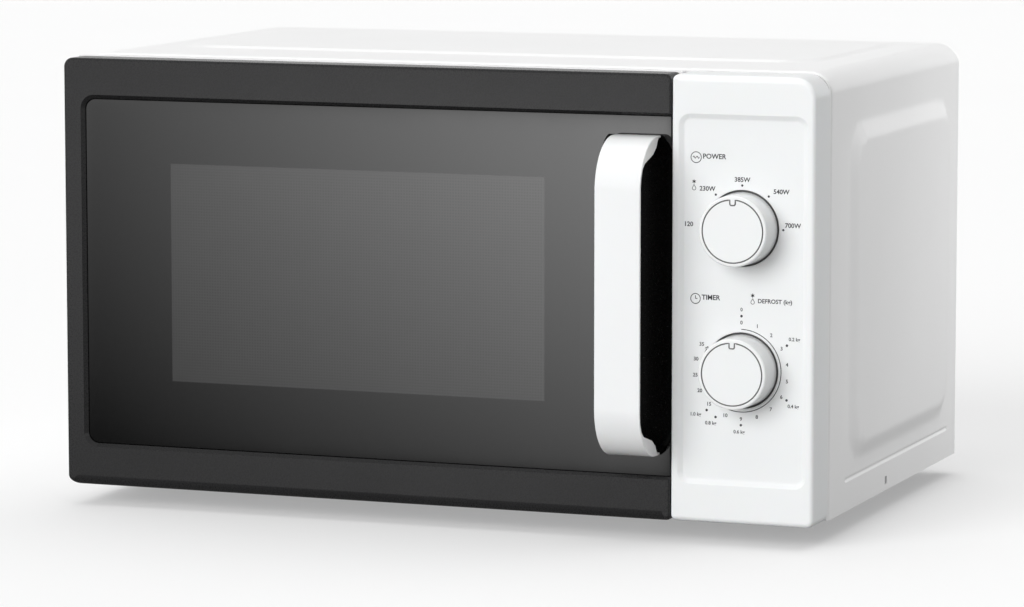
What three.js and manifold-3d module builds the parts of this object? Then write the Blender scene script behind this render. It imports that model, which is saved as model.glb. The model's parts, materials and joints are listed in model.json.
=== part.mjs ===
// Microwave oven with two dials. Sizes are in millimetres: x to the right, y from front to rear, z up.
// Every piece is laid out with y = 0 on the front face and z = 0 on the underside of the body, and is
// then moved so that the whole oven stands on the origin plane, centred on it.
import * as THREE from 'three';
import { mergeVertices } from 'three/addons/utils/BufferGeometryUtils.js';
import Module from 'manifold-3d';

const wasm = await Module();
wasm.setup();

// ---- driving dimensions ----
const bodyWidth = 440;
const bodyHeight = 241;
const bodyDepth = 287;
const panelWidth = 80;
const fasciaDepth = 26;
const handleReach = 32;
const spacerReach = 10;
const footHeight = 12;
const sheet = 1.2;
const gap = 0.3;

const right = bodyWidth / 2;
const left = -right;
const panelLeft = right - panelWidth;
const doorRight = panelLeft - 0.7;
const cabinetTop = bodyHeight + 1.2;
const frontY = handleReach - (handleReach + bodyDepth + spacerReach) / 2;

// oven cavity, inside
const cavity = { x0: -198, x1: 98, y0: 20.5, y1: 275, z0: 20, z1: 222, radius: 8 };
const trayX = (cavity.x0 + cavity.x1) / 2;
const trayY = 148;

// door
const doorBack = 17;
const pivotInset = 8.5;
const glassFront = 2;
const glassBack = 5;
const doorBottom = -0.8;
const recess = { x0: -207.7, z0: 23.4, z1: 218.6, radius: 6 };
const windowHole = { x0: -155.5, x1: 67, z0: 60.7, z1: 183.5 };
const scoop = { x0: 100, x1: 139.9, z0: 35, z1: 208.3, corner: 12.6, floor: 10.6 };
const handleBar = { x0: 107.4, x1: 133.2, z0: 35.2, z1: 208, bend: 28, grip: 3, foot: 3.3 };
const hook = { x0: 113, x1: 127, tipY: 34, thickness: 6, barb: 3, z: [55, 181] };
const plateFront = 19;
const plateBack = plateFront + sheet;

// dials
const dialX = 179;
const powerZ = 159.6;
const timerZ = 83.2;
const dialFront = -15;
const dialRadius = 19.5;
const shaftRadius = 3;

// fan and magnetron
const fan = { x: 160, z: 150, radius: 44, hub: 11 };
const antenna = { y: 140, z: 158 };

// ---- geometry helpers ----
function toSolid(geometry) {
  const plain = geometry.clone();
  plain.deleteAttribute('normal');
  plain.deleteAttribute('uv');
  const merged = mergeVertices(plain, 1e-4);
  const points = merged.attributes.position.array;
  const corners = [];
  let volume = 0;
  for (let i = 0; i < merged.index.count; i += 3) {
    const [a, b, c] = [merged.index.getX(i), merged.index.getX(i + 1), merged.index.getX(i + 2)];
    if (a === b || b === c || c === a) continue;
    corners.push(a, b, c);
    const [p, q, r] = [a, b, c].map((n) => new THREE.Vector3().fromArray(points, 3 * n));
    volume += p.dot(q.cross(r));
  }
  if (volume < 0) corners.reverse();
  const vertProperties = new Float32Array(points);
  const triVerts = new Uint32Array(corners);
  return new wasm.Manifold(new wasm.Mesh({ numProp: 3, vertProperties, triVerts }));
}

function toGeometry(solid) {
  const mesh = solid.getMesh();
  const indexed = new THREE.BufferGeometry();
  indexed.setAttribute('position', new THREE.BufferAttribute(mesh.vertProperties, 3));
  indexed.setIndex(new THREE.BufferAttribute(mesh.triVerts, 1));
  const faceted = indexed.toNonIndexed();
  faceted.computeVertexNormals();
  return faceted;
}

function join(...solids) {
  return solids.reduce((sum, solid) => sum.add(solid));
}

function cut(base, ...tools) {
  return tools.reduce((rest, tool) => rest.subtract(tool), base);
}

function box(x0, x1, y0, y1, z0, z1) {
  const geometry = new THREE.BoxGeometry(x1 - x0, y1 - y0, z1 - z0);
  geometry.translate((x0 + x1) / 2, (y0 + y1) / 2, (z0 + z1) / 2);
  return toSolid(geometry);
}

// Sketch of a rectangle with its own radius at each corner: low-low, high-low, high-high, low-high.
function roundedRectangle(u0, u1, v0, v1, radii) {
  const [a, b, c, d] = Array.isArray(radii) ? radii : [radii, radii, radii, radii];
  const shape = new THREE.Shape();
  shape.moveTo(u0 + a, v0);
  shape.lineTo(u1 - b, v0);
  if (b) shape.absarc(u1 - b, v0 + b, b, -Math.PI / 2, 0);
  shape.lineTo(u1, v1 - c);
  if (c) shape.absarc(u1 - c, v1 - c, c, 0, Math.PI / 2);
  shape.lineTo(u0 + d, v1);
  if (d) shape.absarc(u0 + d, v1 - d, d, Math.PI / 2, Math.PI);
  shape.lineTo(u0, v0 + a);
  if (a) shape.absarc(u0 + a, v0 + a, a, Math.PI, Math.PI * 1.5);
  return shape;
}

// A sketch drawn as seen from the front (x, z), the side (y, z) or above (x, y), made solid from one
// place to another along the third axis.
function extrude(shape, view, from, to, options = {}) {
  const settings = { depth: to - from, bevelEnabled: false, curveSegments: 3, ...options };
  const geometry = new THREE.ExtrudeGeometry(shape, settings);
  const [x, y, z] = [new THREE.Vector3(1, 0, 0), new THREE.Vector3(0, 1, 0), new THREE.Vector3(0, 0, 1)];
  if (view === 'front') {
    geometry.applyMatrix4(new THREE.Matrix4().makeBasis(x, z, y.clone().negate()));
    geometry.translate(0, to, 0);
  } else if (view === 'side') {
    geometry.applyMatrix4(new THREE.Matrix4().makeBasis(y, z, x));
    geometry.translate(from, 0, 0);
  } else {
    geometry.translate(0, 0, from);
  }
  return toSolid(geometry);
}

function along(geometry, axis) {
  if (axis === 'x') geometry.rotateZ(-Math.PI / 2);
  if (axis === 'z') geometry.rotateX(Math.PI / 2);
  return geometry;
}

// A cylinder along an axis through the point at; from and to are places on that axis.
function cylinder(axis, at, radius, from, to, segments = 16) {
  const geometry = along(new THREE.CylinderGeometry(radius, radius, to - from, segments), axis);
  const middle = (from + to) / 2;
  const [x, y, z] = at;
  if (axis === 'x') geometry.translate(middle, y, z);
  if (axis === 'y') geometry.translate(x, middle, z);
  if (axis === 'z') geometry.translate(x, y, middle);
  return toSolid(geometry);
}

// A turned piece: pairs of radius and place along its axis.
function turned(profile, axis, at, segments = 16) {
  const points = profile.map(([radius, place]) => new THREE.Vector2(radius, place));
  const geometry = along(new THREE.LatheGeometry(points, segments), axis);
  geometry.translate(...at);
  return toSolid(geometry);
}

// A panel pressed out of a flat sheet, with sloping sides: its outline, its rise and its slope's width.
function pressing(shape, view, surface, rise, slope) {
  const bevel = { bevelEnabled: true, bevelThickness: rise, bevelSize: slope, bevelOffset: -slope };
  const solid = extrude(shape, view, 0, sheet, { ...bevel, bevelSegments: 2, curveSegments: 3 });
  const far = 1000;
  const move = view === 'side' ? [surface - sheet, 0, 0] : [0, 0, surface - sheet];
  const keep = view === 'side'
    ? box(surface - sheet, far, -far, far, -far, far)
    : box(-far, far, -far, far, surface - sheet, far);
  return solid.translate(move).intersect(keep);
}

function mirrored(solid) {
  return solid.mirror([1, 0, 0]);
}

// ---- cabinet ----
const sidePanel = { y0: 62, y1: 264, z0: 25, z1: 213, radius: 24, rise: 3.6, slope: 13 };
const topPanel = { halfWidth: 193, y0: 84, y1: 262, radius: 32, rise: 1.5, slope: 5 };

function cabinetWrap() {
  const front = fasciaDepth + gap;
  const bend = 12;
  const inner = bend - sheet;
  const lip = 13;
  const outline = roundedRectangle(left, right, 0, cabinetTop, [0, 0, bend, bend]);
  const profile = roundedRectangle(front, bodyDepth, 0, cabinetTop, [0, 0, bend, 0]);
  const ceiling = cabinetTop - sheet;
  const innerOutline = roundedRectangle(left + sheet, right - sheet, -1, ceiling, [0, 0, inner, inner]);
  const innerProfile = roundedRectangle(front - 1, bodyDepth - sheet, -1, ceiling, [0, 0, inner, 0]);
  const shell = extrude(outline, 'front', front, bodyDepth)
    .intersect(extrude(profile, 'side', left - 1, right + 1));
  const hollow = extrude(innerOutline, 'front', front - 1, bodyDepth)
    .intersect(extrude(innerProfile, 'side', left, right));
  const rearOpening = box(left + lip, right - lip, bodyDepth - 5, bodyDepth + 1, -1, cabinetTop - lip - 2);

  const side = sidePanel;
  const sideShape = roundedRectangle(side.y0, side.y1, side.z0, side.z1, side.radius);
  const { halfWidth, y0, y1 } = topPanel;
  const topShape = roundedRectangle(-halfWidth, halfWidth, y0, y1, topPanel.radius);
  const sidePress = (surface) => pressing(sideShape, 'side', surface, side.rise, side.slope);
  const topPress = (surface) => pressing(topShape, 'above', surface, topPanel.rise, topPanel.slope);
  const groove = box(right - 0.5, right + 1, 59, 266, 16.3, 18.7);
  const lugHole = box(right - 3, right + 1, 137, 141, 3.5, 8);

  const pressed = join(shell, sidePress(right), mirrored(sidePress(right)), topPress(cabinetTop));
  return cut(pressed, hollow, rearOpening,
    sidePress(right - sheet), mirrored(sidePress(right - sheet)), topPress(cabinetTop - sheet),
    groove, mirrored(groove), lugHole, mirrored(lugHole));
}

// A tray with turned-up sides, slotted under the fan's side of the oven.
function basePlate() {
  const [x0, x1] = [left + sheet + 1, right - sheet - 1];
  const [z0, z1, lip] = [1.2, 1.2 + sheet, 12];
  const section = new THREE.Shape();
  section.moveTo(x0, z0);
  const corners = [[x1, z0], [x1, lip], [x1 - sheet, lip], [x1 - sheet, z1], [x0 + sheet, z1],
    [x0 + sheet, lip], [x0, lip]];
  for (const [x, z] of corners) section.lineTo(x, z);
  const [slotCount, slotPitch, slotWidth] = [8, 11, 5];
  const slots = [];
  for (let i = 0; i < slotCount; i += 1) {
    const x = 118 + i * slotPitch;
    slots.push(box(x, x + slotWidth, 56, 74, 0, 4));
  }
  return cut(extrude(section, 'front', fasciaDepth + 1.5, bodyDepth - 4), ...slots);
}

function rearPanel() {
  const front = bodyDepth - sheet - gap - sheet;
  const shape = roundedRectangle(left + 2, right - 2, 3, 231, [0, 0, 12, 12]);
  const sheetPiece = extrude(shape, 'front', front, front + sheet);
  const [pitch, height] = [9, 3.5];
  const louvres = (count, x0, x1, lowest) => Array.from({ length: count }, (_, row) => {
    const z = lowest + row * pitch;
    return box(x0, x1, front - 1, front + 3, z, z + height);
  });
  const slots = [...louvres(9, 118, 202, fan.z - 38), ...louvres(4, -180, -120, 150)];
  const cordHole = cylinder('y', [cord.x, 0, cord.z], cord.neck + 0.4, front - 1, front + 3);
  return cut(sheetPiece, ...slots, cordHole);
}

const cord = { x: 188, z: 34, neck: 7, bore: 4 };

function cordGland() {
  const rear = bodyDepth - sheet - gap;
  const profile = [[cord.bore, rear - 9], [cord.neck, rear - 9], [cord.neck, rear + gap], [11, rear + gap],
    [11, rear + 4], [8, rear + 8], [cord.bore, rear + 8], [cord.bore, rear - 9]];
  return turned(profile, 'y', [cord.x, 0, cord.z]);
}

const spacerZ = 212;

function rearSpacer(x) {
  const rear = bodyDepth - sheet - gap;
  const tip = bodyDepth + spacerReach;
  const profile = [[0, rear + gap], [13, rear + gap], [13, rear + 4], [9, tip - 1], [8, tip], [0, tip]];
  return turned(profile, 'y', [x, 0, spacerZ]);
}

const footX = 180;
const footRows = { front: 90, rear: 258 };

function foot(x, y) {
  const top = sheet - gap;
  const profile = [[0, -footHeight], [8, -footHeight], [9, 1 - footHeight], [11, top], [0, top]];
  return turned(profile, 'z', [x, y, 0]);
}

// ---- oven cavity and what is fixed to it ----
function frontPlate() {
  const [x0, x1, z0, z1] = [left + 0.5, doorRight, 1, bodyHeight];
  const block = box(x0, x1, plateFront, fasciaDepth, z0, z1);
  const behind = box(x0 + sheet, x1 - sheet, plateBack, fasciaDepth + 1, z0 + sheet, z1 - sheet);
  const mouth = roundedRectangle(cavity.x0, cavity.x1, cavity.z0, cavity.z1, cavity.radius);
  const slots = hook.z.map((z) => hookSlot(z));
  return cut(block, behind, extrude(mouth, 'front', plateFront - 1, plateBack + 1), ...slots);
}

function hookSlot(z) {
  return box(hook.x0 - 2.5, hook.x1 + 2.5, doorBack - 5, 30, z - hook.barb - 3, z + hook.thickness + 7);
}

function ovenCavity() {
  const { x0, x1, y0, y1, z0, z1, radius } = cavity;
  const outside = roundedRectangle(x0 - sheet, x1 + sheet, z0 - sheet, z1 + sheet, radius + sheet);
  const inside = roundedRectangle(x0, x1, z0, z1, radius);
  const guideHole = box(x1 - 2, x1 + 4, antenna.y - 35, antenna.y + 35, antenna.z - 28, antenna.z + 28);
  const lampHole = cylinder('x', [0, lamp.y, lamp.z], 8, x1 - 2, x1 + 4);
  const shaftHole = cylinder('z', [trayX, trayY, 0], 6, z0 - 4, z0 + 2);
  return cut(extrude(outside, 'front', y0, y1 + sheet), extrude(inside, 'front', y0 - 1, y1),
    guideHole, lampHole, shaftHole);
}

const lamp = { y: 75, z: 165 };

function waveguideCover() {
  const shape = roundedRectangle(antenna.y - 42, antenna.y + 42, antenna.z - 35, antenna.z + 35, 5);
  return extrude(shape, 'side', cavity.x1 - gap - 1, cavity.x1 - gap, { curveSegments: 1 });
}

const guide = { x0: cavity.x1 + sheet + gap, x1: 121, halfY: 42, halfZ: 36 };

function waveguide() {
  const { x0, x1, halfY, halfZ } = guide;
  const { y, z } = antenna;
  const outside = box(x0, x1, y - halfY, y + halfY, z - halfZ, z + halfZ);
  const wallY = halfY - sheet;
  const wallZ = halfZ - sheet;
  const inside = box(x0 - 1, x1 - sheet, y - wallY, y + wallY, z - wallZ, z + wallZ);
  return cut(outside, inside, cylinder('x', [0, antenna.y, antenna.z], 14, x1 - 3, x1 + 3));
}

function cavityLamp() {
  const x = cavity.x1 + sheet + gap;
  const [bulb, socket, base, end] = [x + 4, x + 12, x + 22, x + 26];
  const profile = [[0, x], [4, x + 1], [6, bulb], [6, socket], [9, socket], [9, base], [3, end], [0, end]];
  return turned(profile, 'x', [0, lamp.y, lamp.z]);
}

// ---- magnetron ----
const yoke = { x0: guide.x1 + gap, x1: 176, halfY: 39, halfZ: 44, wall: 3 };

function magnetronYoke() {
  const { x0, x1, halfY, halfZ, wall } = yoke;
  const outside = roundedRectangle(x0, x1, antenna.z - halfZ, antenna.z + halfZ, 4);
  const innerZ = halfZ - wall;
  const inside = roundedRectangle(x0 + wall, x1 - wall, antenna.z - innerZ, antenna.z + innerZ, 1);
  const flat = { curveSegments: 1 };
  return cut(extrude(outside, 'front', antenna.y - halfY, antenna.y + halfY, flat),
    extrude(inside, 'front', antenna.y - halfY - 1, antenna.y + halfY + 1, flat),
    cylinder('x', [0, antenna.y, antenna.z], 13.5, x0 - 1, x1 + 1));
}

function magnetronAnode() {
  const at = [0, antenna.y, antenna.z];
  const [x0, x1] = [yoke.x0 + yoke.wall + gap, yoke.x1 - yoke.wall - gap];
  const [neck, can, magnet, disc] = [12, 19, 27, 8];
  const profile = [[0, 106], [4, 106], [7, 109], [7, 114], [neck, 116], [neck, x0], [magnet, x0],
    [magnet, x0 + disc], [can, x0 + disc], [can, x1 - disc], [magnet, x1 - disc], [magnet, x1],
    [neck, x1], [neck, x1 + 10], [0, x1 + 10]];
  const fins = [];
  for (let x = x0 + 12; x < x1 - 11; x += 8) {
    fins.push(box(x, x + 0.8, antenna.y - 36, antenna.y + 36, antenna.z - 40, antenna.z + 40));
  }
  return join(turned(profile, 'x', at), ...fins);
}

function magnetronFilter() {
  const x0 = yoke.x1 + gap;
  const { y, z } = antenna;
  const half = 32;
  const shell = box(x0, x0 + 30, y - half, y + half, z - 30, z + 30);
  const terminals = [-8, 8].map((dz) => (
    box(x0 + 10, x0 + 20, y + half - 1, y + half + 10, z + dz, z + dz + 1)));
  return cut(join(shell, ...terminals), cylinder('x', [0, y, z], 13, x0 - 1, x0 + 12));
}

// ---- power supply ----
const core = { x: 155, y0: 100, y1: 156, z0: 6, z1: 78, halfWidth: 43, leg: 12, window: 19, yokeHeight: 14 };

function transformerCore() {
  const { x, y0, y1, z0, z1, halfWidth, leg, window, yokeHeight } = core;
  const block = box(x - halfWidth, x + halfWidth, y0, y1, z0, z1);
  const windows = [-1, 1].map((side) => {
    const [a, b] = [x + side * leg, x + side * (leg + window)].sort((p, q) => p - q);
    return box(a, b, y0 - 1, y1 + 1, z0 + yokeHeight, z1 - yokeHeight);
  });
  const flange = 8;
  const feet = [x - 30, x + 30].map((middle) => (
    box(middle - flange, middle + flange, y0 - flange, y1 + flange, z0 - 3, z0 + 1)));
  return join(cut(block, ...windows), ...feet);
}

function winding(z0, z1, spread) {
  const { x, y0, y1, leg } = core;
  const hole = box(x - leg - 0.8, x + leg + 0.8, y0 - 0.8, y1 + 0.8, z0 - 1, z1 + 1);
  const outline = roundedRectangle(x - spread, x + spread, y0 - spread + leg, y1 + spread - leg, 13);
  return cut(extrude(outline, 'above', z0, z1), hole);
}

function highVoltageCapacitor() {
  const can = roundedRectangle(198, 250, 6, 39, 16);
  const terminals = [212, 236].map((y) => box(199, 207, y - 3, y + 3, 22, 23));
  return join(extrude(can, 'side', 118, 200), ...terminals);
}

function highVoltageDiode() {
  const profile = [[0, 132], [1, 132], [1, 140], [4, 140], [4, 158], [1, 158], [1, 166], [0, 166]];
  return turned(profile, 'x', [0, 224, 46]);
}

function lineFilter() {
  const [x0, y0, z0] = [206, 200, 50];
  const board = box(x0, x0 + 1.6, y0, y0 + 62, z0, z0 + 44);
  const ring = [[5, x0 - 9], [11, x0 - 9], [11, x0 + 0.5], [5, x0 + 0.5], [5, x0 - 9]];
  const coil = turned(ring, 'x', [0, y0 + 16, z0 + 18]);
  const capacitor = box(x0 - 10, x0 + 0.5, y0 + 34, y0 + 56, z0 + 6, z0 + 24);
  const fuse = cylinder('y', [x0 - 4, 0, z0 + 34], 3, y0 + 30, y0 + 54, 10);
  const clips = [34, 47].map((dy) => box(x0 - 5, x0 + 0.5, y0 + dy, y0 + dy + 3, z0 + 31, z0 + 37));
  return join(board, coil, capacitor, fuse, ...clips);
}

// ---- fan ----
function fanShroud() {
  const [y0, y1] = [252, 254];
  const shape = roundedRectangle(fan.x - 55, fan.x + 55, fan.z - 52, fan.z + 52, 6);
  const clear = fan.radius + 2.5;
  const plate = extrude(shape, 'front', y0, y1, { curveSegments: 1 });
  const ring = [[clear, y0], [clear + 2, y0], [clear + 2, y1 + 20], [clear, y1 + 20], [clear, y0]];
  const hole = cylinder('y', [fan.x, 0, fan.z], clear, y0 - 1, y1 + 1, 32);
  const arms = [
    box(fan.x - clear - 1, fan.x + clear + 1, y0, y1, fan.z - 4, fan.z + 4),
    box(fan.x - 4, fan.x + 4, y0, y1, fan.z - clear - 1, fan.z + clear + 1),
  ];
  const body = join(cut(plate, hole), turned(ring, 'y', [fan.x, 0, fan.z], 32), ...arms,
    cylinder('y', [fan.x, 0, fan.z], 14, y0, y1));
  return cut(body, cylinder('y', [fan.x, 0, fan.z], 4, y0 - 1, y1 + 1));
}

function fanMotor() {
  const [y0, y1] = [232, 251.7];
  const stack = box(fan.x - 30, fan.x + 30, y0 + 3, y1 - 4, fan.z - 24, fan.z + 24);
  const cups = cylinder('y', [fan.x, 0, fan.z], 14, y0, y1);
  const coil = cylinder('z', [fan.x + 22, y0 + 9.5, 0], 9, fan.z - 18, fan.z + 18);
  return cut(join(stack, cups, coil), cylinder('y', [fan.x, 0, fan.z], 2.4, y0 + 4, y1 + 1));
}

function fanBlade() {
  const shaft = cylinder('y', [fan.x, 0, fan.z], 2, 240, 260, 12);
  const [front, back] = [256, 271];
  const profile = [[0, front], [fan.hub, front], [fan.hub, back - 3], [fan.hub - 4, back], [0, back]];
  const hub = turned(profile, 'y', [fan.x, 0, fan.z], 20);
  const blades = [];
  const count = 5;
  for (let i = 0; i < count; i += 1) {
    const geometry = new THREE.BoxGeometry(fan.radius - fan.hub + 2, 1.4, 24);
    geometry.rotateX(Math.PI * 0.19);
    geometry.translate((fan.radius + fan.hub - 4) / 2, 0, 0);
    geometry.rotateY((i * 2 * Math.PI) / count);
    geometry.translate(fan.x, (front + back) / 2, fan.z);
    blades.push(toSolid(geometry));
  }
  return join(hub, shaft, ...blades);
}

// ---- door switches ----
const switches = {
  primary: { x: 115, z: 169, plungerZ: 184 },
  secondary: { x: 108.5, z: 43, plungerZ: 58 },
  monitor: { x: 120.3, z: 43, plungerZ: 58 },
};
const switchSize = { x: 10.2, y0: 38, y1: 54, z: 28 };

function latchBoard() {
  const [x0, x1, y0, z0, z1] = [103, 136, plateBack + gap, 36, 206];
  const plate = box(x0, x1, y0, y0 + 2.2, z0, z1);
  const wall = box(x0, x0 + 2.2, y0, 56, z0, z1);
  const bridges = [z0, 120, z1 - 2.2].map((z) => box(x0, x1, y0, 56, z, z + 2.2));
  const ledges = hook.z.map((z) => box(x0, x1, y0, 30, z - hook.barb - 6, z - hook.barb - 0.6));
  return cut(join(plate, wall, ...bridges), ...hook.z.map((z) => hookSlot(z))).add(join(...ledges));
}

function microSwitch({ x, z, plungerZ }) {
  const { x: width, y0, y1, z: height } = switchSize;
  const middle = x + width / 2;
  const body = box(x, x + width, y0, y1, z, z + height);
  const tabs = [3, 13, 23].map((dz) => box(middle - 3, middle + 3, y1 - 1, y1 + 6, z + dz, z + dz + 0.8));
  const holes = [6, 22].map((dz) => cylinder('x', [0, y1 - 5, z + dz], 1.6, x - 1, x + width + 1, 8));
  const bore = cylinder('y', [middle, 0, plungerZ], plungerRadius + 0.4, y0 - 1, y0 + 6, 12);
  return cut(join(body, ...tabs), ...holes, bore);
}

const plungerRadius = 1.8;

function plunger({ x, plungerZ }) {
  const at = [x + switchSize.x / 2, 0, plungerZ];
  return turned([[0, 34.8], [1.2, 34.8], [plungerRadius, 35.4], [plungerRadius, 42], [0, 42]], 'y', at, 12);
}

// ---- control panel and dials ----
// The face has a shallow plate sunk into it with a sloping border, and a well round each dial.
const plate = { x0: 143.6, x1: 216, z0: 20.7, z1: 220.4, radius: 6.5, slope: 3, depth: 1.2 };

function controlPanel() {
  const round = 2.4;
  const wall = 2.4;
  const shape = roundedRectangle(panelLeft, right, 0, bodyHeight, [3.2, 4, 12, 3.2]);
  const block = extrude(shape, 'front', round, fasciaDepth, edgeCut(round, round, 2))
    .intersect(box(0, right + 1, -1, fasciaDepth, -1, bodyHeight + 1));
  const inside = roundedRectangle(panelLeft + wall, right - wall, wall, bodyHeight - wall, 4);
  const hollow = extrude(inside, 'front', 4, 30);
  const disc = (radius, from, to) => [powerZ, timerZ].map((z) => (
    cylinder('y', [dialX, 0, z], radius, from, to, 32)));
  const shell = join(cut(block, hollow), ...disc(dialRadius + 4, 3, 7));
  return cut(shell, sunkenPlate(), ...disc(dialRadius + 1.2, -1, 4), ...disc(shaftRadius + 1.2, -1, 8));
}

function sunkenPlate() {
  const { x0, x1, z0, z1, radius, slope, depth } = plate;
  return extrude(roundedRectangle(x0, x1, z0, z1, radius), 'front', -6, 0, edgeCut(depth, slope, 1))
    .intersect(box(x0 - 1, x1 + 1, -4, 4, z0 - 1, z1 + 1));
}

// Settings for an extrusion that goes on past both its ends, narrowing as it goes.
function edgeCut(deep, wide, segments) {
  return {
    bevelEnabled: true, bevelThickness: deep, bevelSize: wide, bevelOffset: -wide, bevelSegments: segments,
  };
}

function dial(z) {
  const base = 3;
  const profile = [[0, dialFront], [17.9, dialFront], [18.5, dialFront + 0.5], [18.7, dialFront + 1.4],
    [dialRadius, base], [17, base], [16.4, dialFront + 4], [6, dialFront + 4], [6, base],
    [shaftRadius + gap, base], [shaftRadius + gap, dialFront + 6], [0, dialFront + 6]];
  const notch = roundedRectangle(dialX - 1.6, dialX + 1.6, z + 13, z + 16.5, 1.6);
  return cut(turned(profile, 'y', [dialX, 0, z], 36),
    extrude(notch, 'front', dialFront - 1, dialFront + 0.6, { curveSegments: 1 }));
}

function dialShaft(z) {
  return cylinder('y', [dialX, 0, z], shaftRadius, dialFront + 6.5, 20, 12);
}

const unitFront = 7.5;

// Flat terminals one above another, standing out of a switch's left side.
function terminalRow(count, x, y, lowest) {
  const [length, width, thickness, pitch] = [3.5, 8, 1, 11];
  return Array.from({ length: count }, (_, i) => {
    const z = lowest + i * pitch;
    return box(x, x + length, y, y + width, z, z + thickness);
  });
}

function timerUnit() {
  const half = 27;
  const shape = roundedRectangle(dialX - half, dialX + half, timerZ - half, timerZ + half, 3);
  const can = extrude(shape, 'front', unitFront, 44, { curveSegments: 1 });
  const tabs = terminalRow(4, dialX - half - 2.5, 20, timerZ - 18);
  return cut(join(can, ...tabs), cylinder('y', [dialX, 0, timerZ], shaftRadius + gap, unitFront - 1, 22, 12));
}

function timerBell() {
  const y = 44 + gap;
  const profile = [[0, y], [4, y], [4, y + 4], [17, y + 4], [21, y], [22, y], [18.5, y + 6], [0, y + 6]];
  return turned(profile, 'y', [dialX, 0, timerZ], 24);
}

function powerSelector() {
  const half = 22;
  const can = box(dialX - half, dialX + half, unitFront, 36, powerZ - half, powerZ + half);
  const tabs = terminalRow(3, dialX - half - 2.5, 16, powerZ - 12);
  return cut(join(can, ...tabs), cylinder('y', [dialX, 0, powerZ], shaftRadius + gap, unitFront - 1, 22, 12));
}

// ---- door ----
const pivot = { x: left + pivotInset, y: doorBack - pivotInset };
const pin = { radius: 2.5, reach: 9, tongueZ: 5, tongueThickness: 2 };
const inner = { x0: -205.7, x1: 136.5, z0: 2.8, z1: bodyHeight - 2.8, chokeFront: 12.2, chokeBack: 14.4 };

function scoopOutline(grow) {
  const { x0, x1, z0, z1, corner } = scoop;
  return roundedRectangle(x0 - grow, x1 + grow, z0 - grow, z1 + grow, corner + grow);
}

function scoopBowl() {
  const slope = 6;
  const depth = scoop.floor - glassBack;
  return extrude(scoopOutline(0), 'front', -3, glassBack, edgeCut(depth, slope, 2))
    .intersect(box(0, 200, -2, 20, 0, 300));
}

function doorFrame() {
  const round = 3;
  const shape = roundedRectangle(left, doorRight, doorBottom, bodyHeight, [5, 3.6, 3.6, 5]);
  const plan = roundedRectangle(left, doorRight, 0, doorBack, [1.2, 0, 0, pivotInset]);
  const block = extrude(shape, 'front', round, doorBack, edgeCut(round, round, 2))
    .intersect(extrude(plan, 'above', doorBottom - 1, bodyHeight + 1));

  const { x0, z0, z1, radius } = recess;
  const glassSeat = roundedRectangle(x0, doorRight + 1, z0, z1, [radius, 0, 0, radius]);
  const seatDepth = glassBack + gap;
  const { x0: viewLeft, x1: viewRight, z0: viewLow, z1: viewHigh } = windowHole;
  const hole = roundedRectangle(viewLeft, viewRight, viewLow, viewHigh, 2);
  const skin = 7.5;
  const room = box(inner.x0 - gap, inner.x1 + gap, skin, doorBack + 1, inner.z0 - gap, inner.z1 + gap);
  const scoopBack = inner.chokeFront - gap;
  const scoopWall = extrude(scoopOutline(3), 'front', seatDepth, scoopBack)
    .intersect(box(0, doorRight, 0, 20, 0, bodyHeight));
  const footPads = [scoop.z0 - 1, scoop.z1 - 4].map((z) => (
    box(handleBar.x0 - 2, handleBar.x1 + 2, glassFront, scoopBack, z, z + 5)));

  const shell = cut(block, cut(room, scoopWall), extrude(glassSeat, 'front', -2, seatDepth),
    extrude(hole, 'front', 0, 10, { curveSegments: 1 }), scoopBowl());
  const pads = join(...footPads).intersect(extrude(scoopOutline(0.1), 'front', 0, scoopBack + 0.1));
  return cut(shell.add(pads), ...hingePockets());
}

// Room in the corners of the door for the hinge tongues and their pins.
function hingePockets() {
  const { tongueZ, tongueThickness, radius, reach } = pin;
  const low = tongueZ - 0.6;
  const high = tongueZ + tongueThickness + 0.6;
  const cuts = [
    box(left - 1, inner.x0, 2.7, doorBack + 1, low, high),
    cylinder('z', [pivot.x, pivot.y, 0], radius + 0.1, low, high + reach + 1, 20),
  ];
  return [...cuts, ...cuts.map((solid) => solid.mirror([0, 0, 1]).translate([0, 0, bodyHeight]))];
}

function hinge(upper) {
  const { tongueZ, tongueThickness, radius, reach } = pin;
  const top = tongueZ + tongueThickness;
  const half = 4;
  const strap = roundedRectangle(pivot.x - half, pivot.x + half, pivot.y - half, 18, [half, half, 0, 0]);
  const tongue = extrude(strap, 'above', tongueZ, top, { curveSegments: 2 });
  const plate = box(pivot.x - 1, inner.x0 + 1, doorBack + 0.5, plateFront - gap, tongueZ, tongueZ + 22);
  const post = cylinder('z', [pivot.x, pivot.y, 0], radius, top - 0.5, top + reach, 20);
  const lower = join(tongue, plate, post);
  return upper ? lower.mirror([0, 0, 1]).translate([0, 0, bodyHeight]) : lower;
}

function doorGlass() {
  const { x0, z0, z1, radius } = recess;
  const shape = roundedRectangle(x0 + gap, doorRight - gap, z0 + gap, z1 - gap, [radius, 0, 0, radius]);
  const scoopCut = extrude(scoopOutline(0.4), 'front', glassFront - 1, glassBack + 1);
  return extrude(shape, 'front', glassFront, glassBack).subtract(scoopCut);
}

function doorChoke() {
  const [x0, x1, z0, z1] = [inner.x0 + 0.7, 108, 8, 233];
  const { chokeFront: y0, chokeBack: y1 } = inner;
  const well = box(x0 + sheet, x1 - sheet, y0 - 1, y1 - sheet, z0 + sheet, z1 - sheet);
  return box(x0, x1, y0, y1, z0, z1).subtract(well);
}

const viewHole = { x0: -186, x1: 86, z0: 34, z1: 208 };

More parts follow.
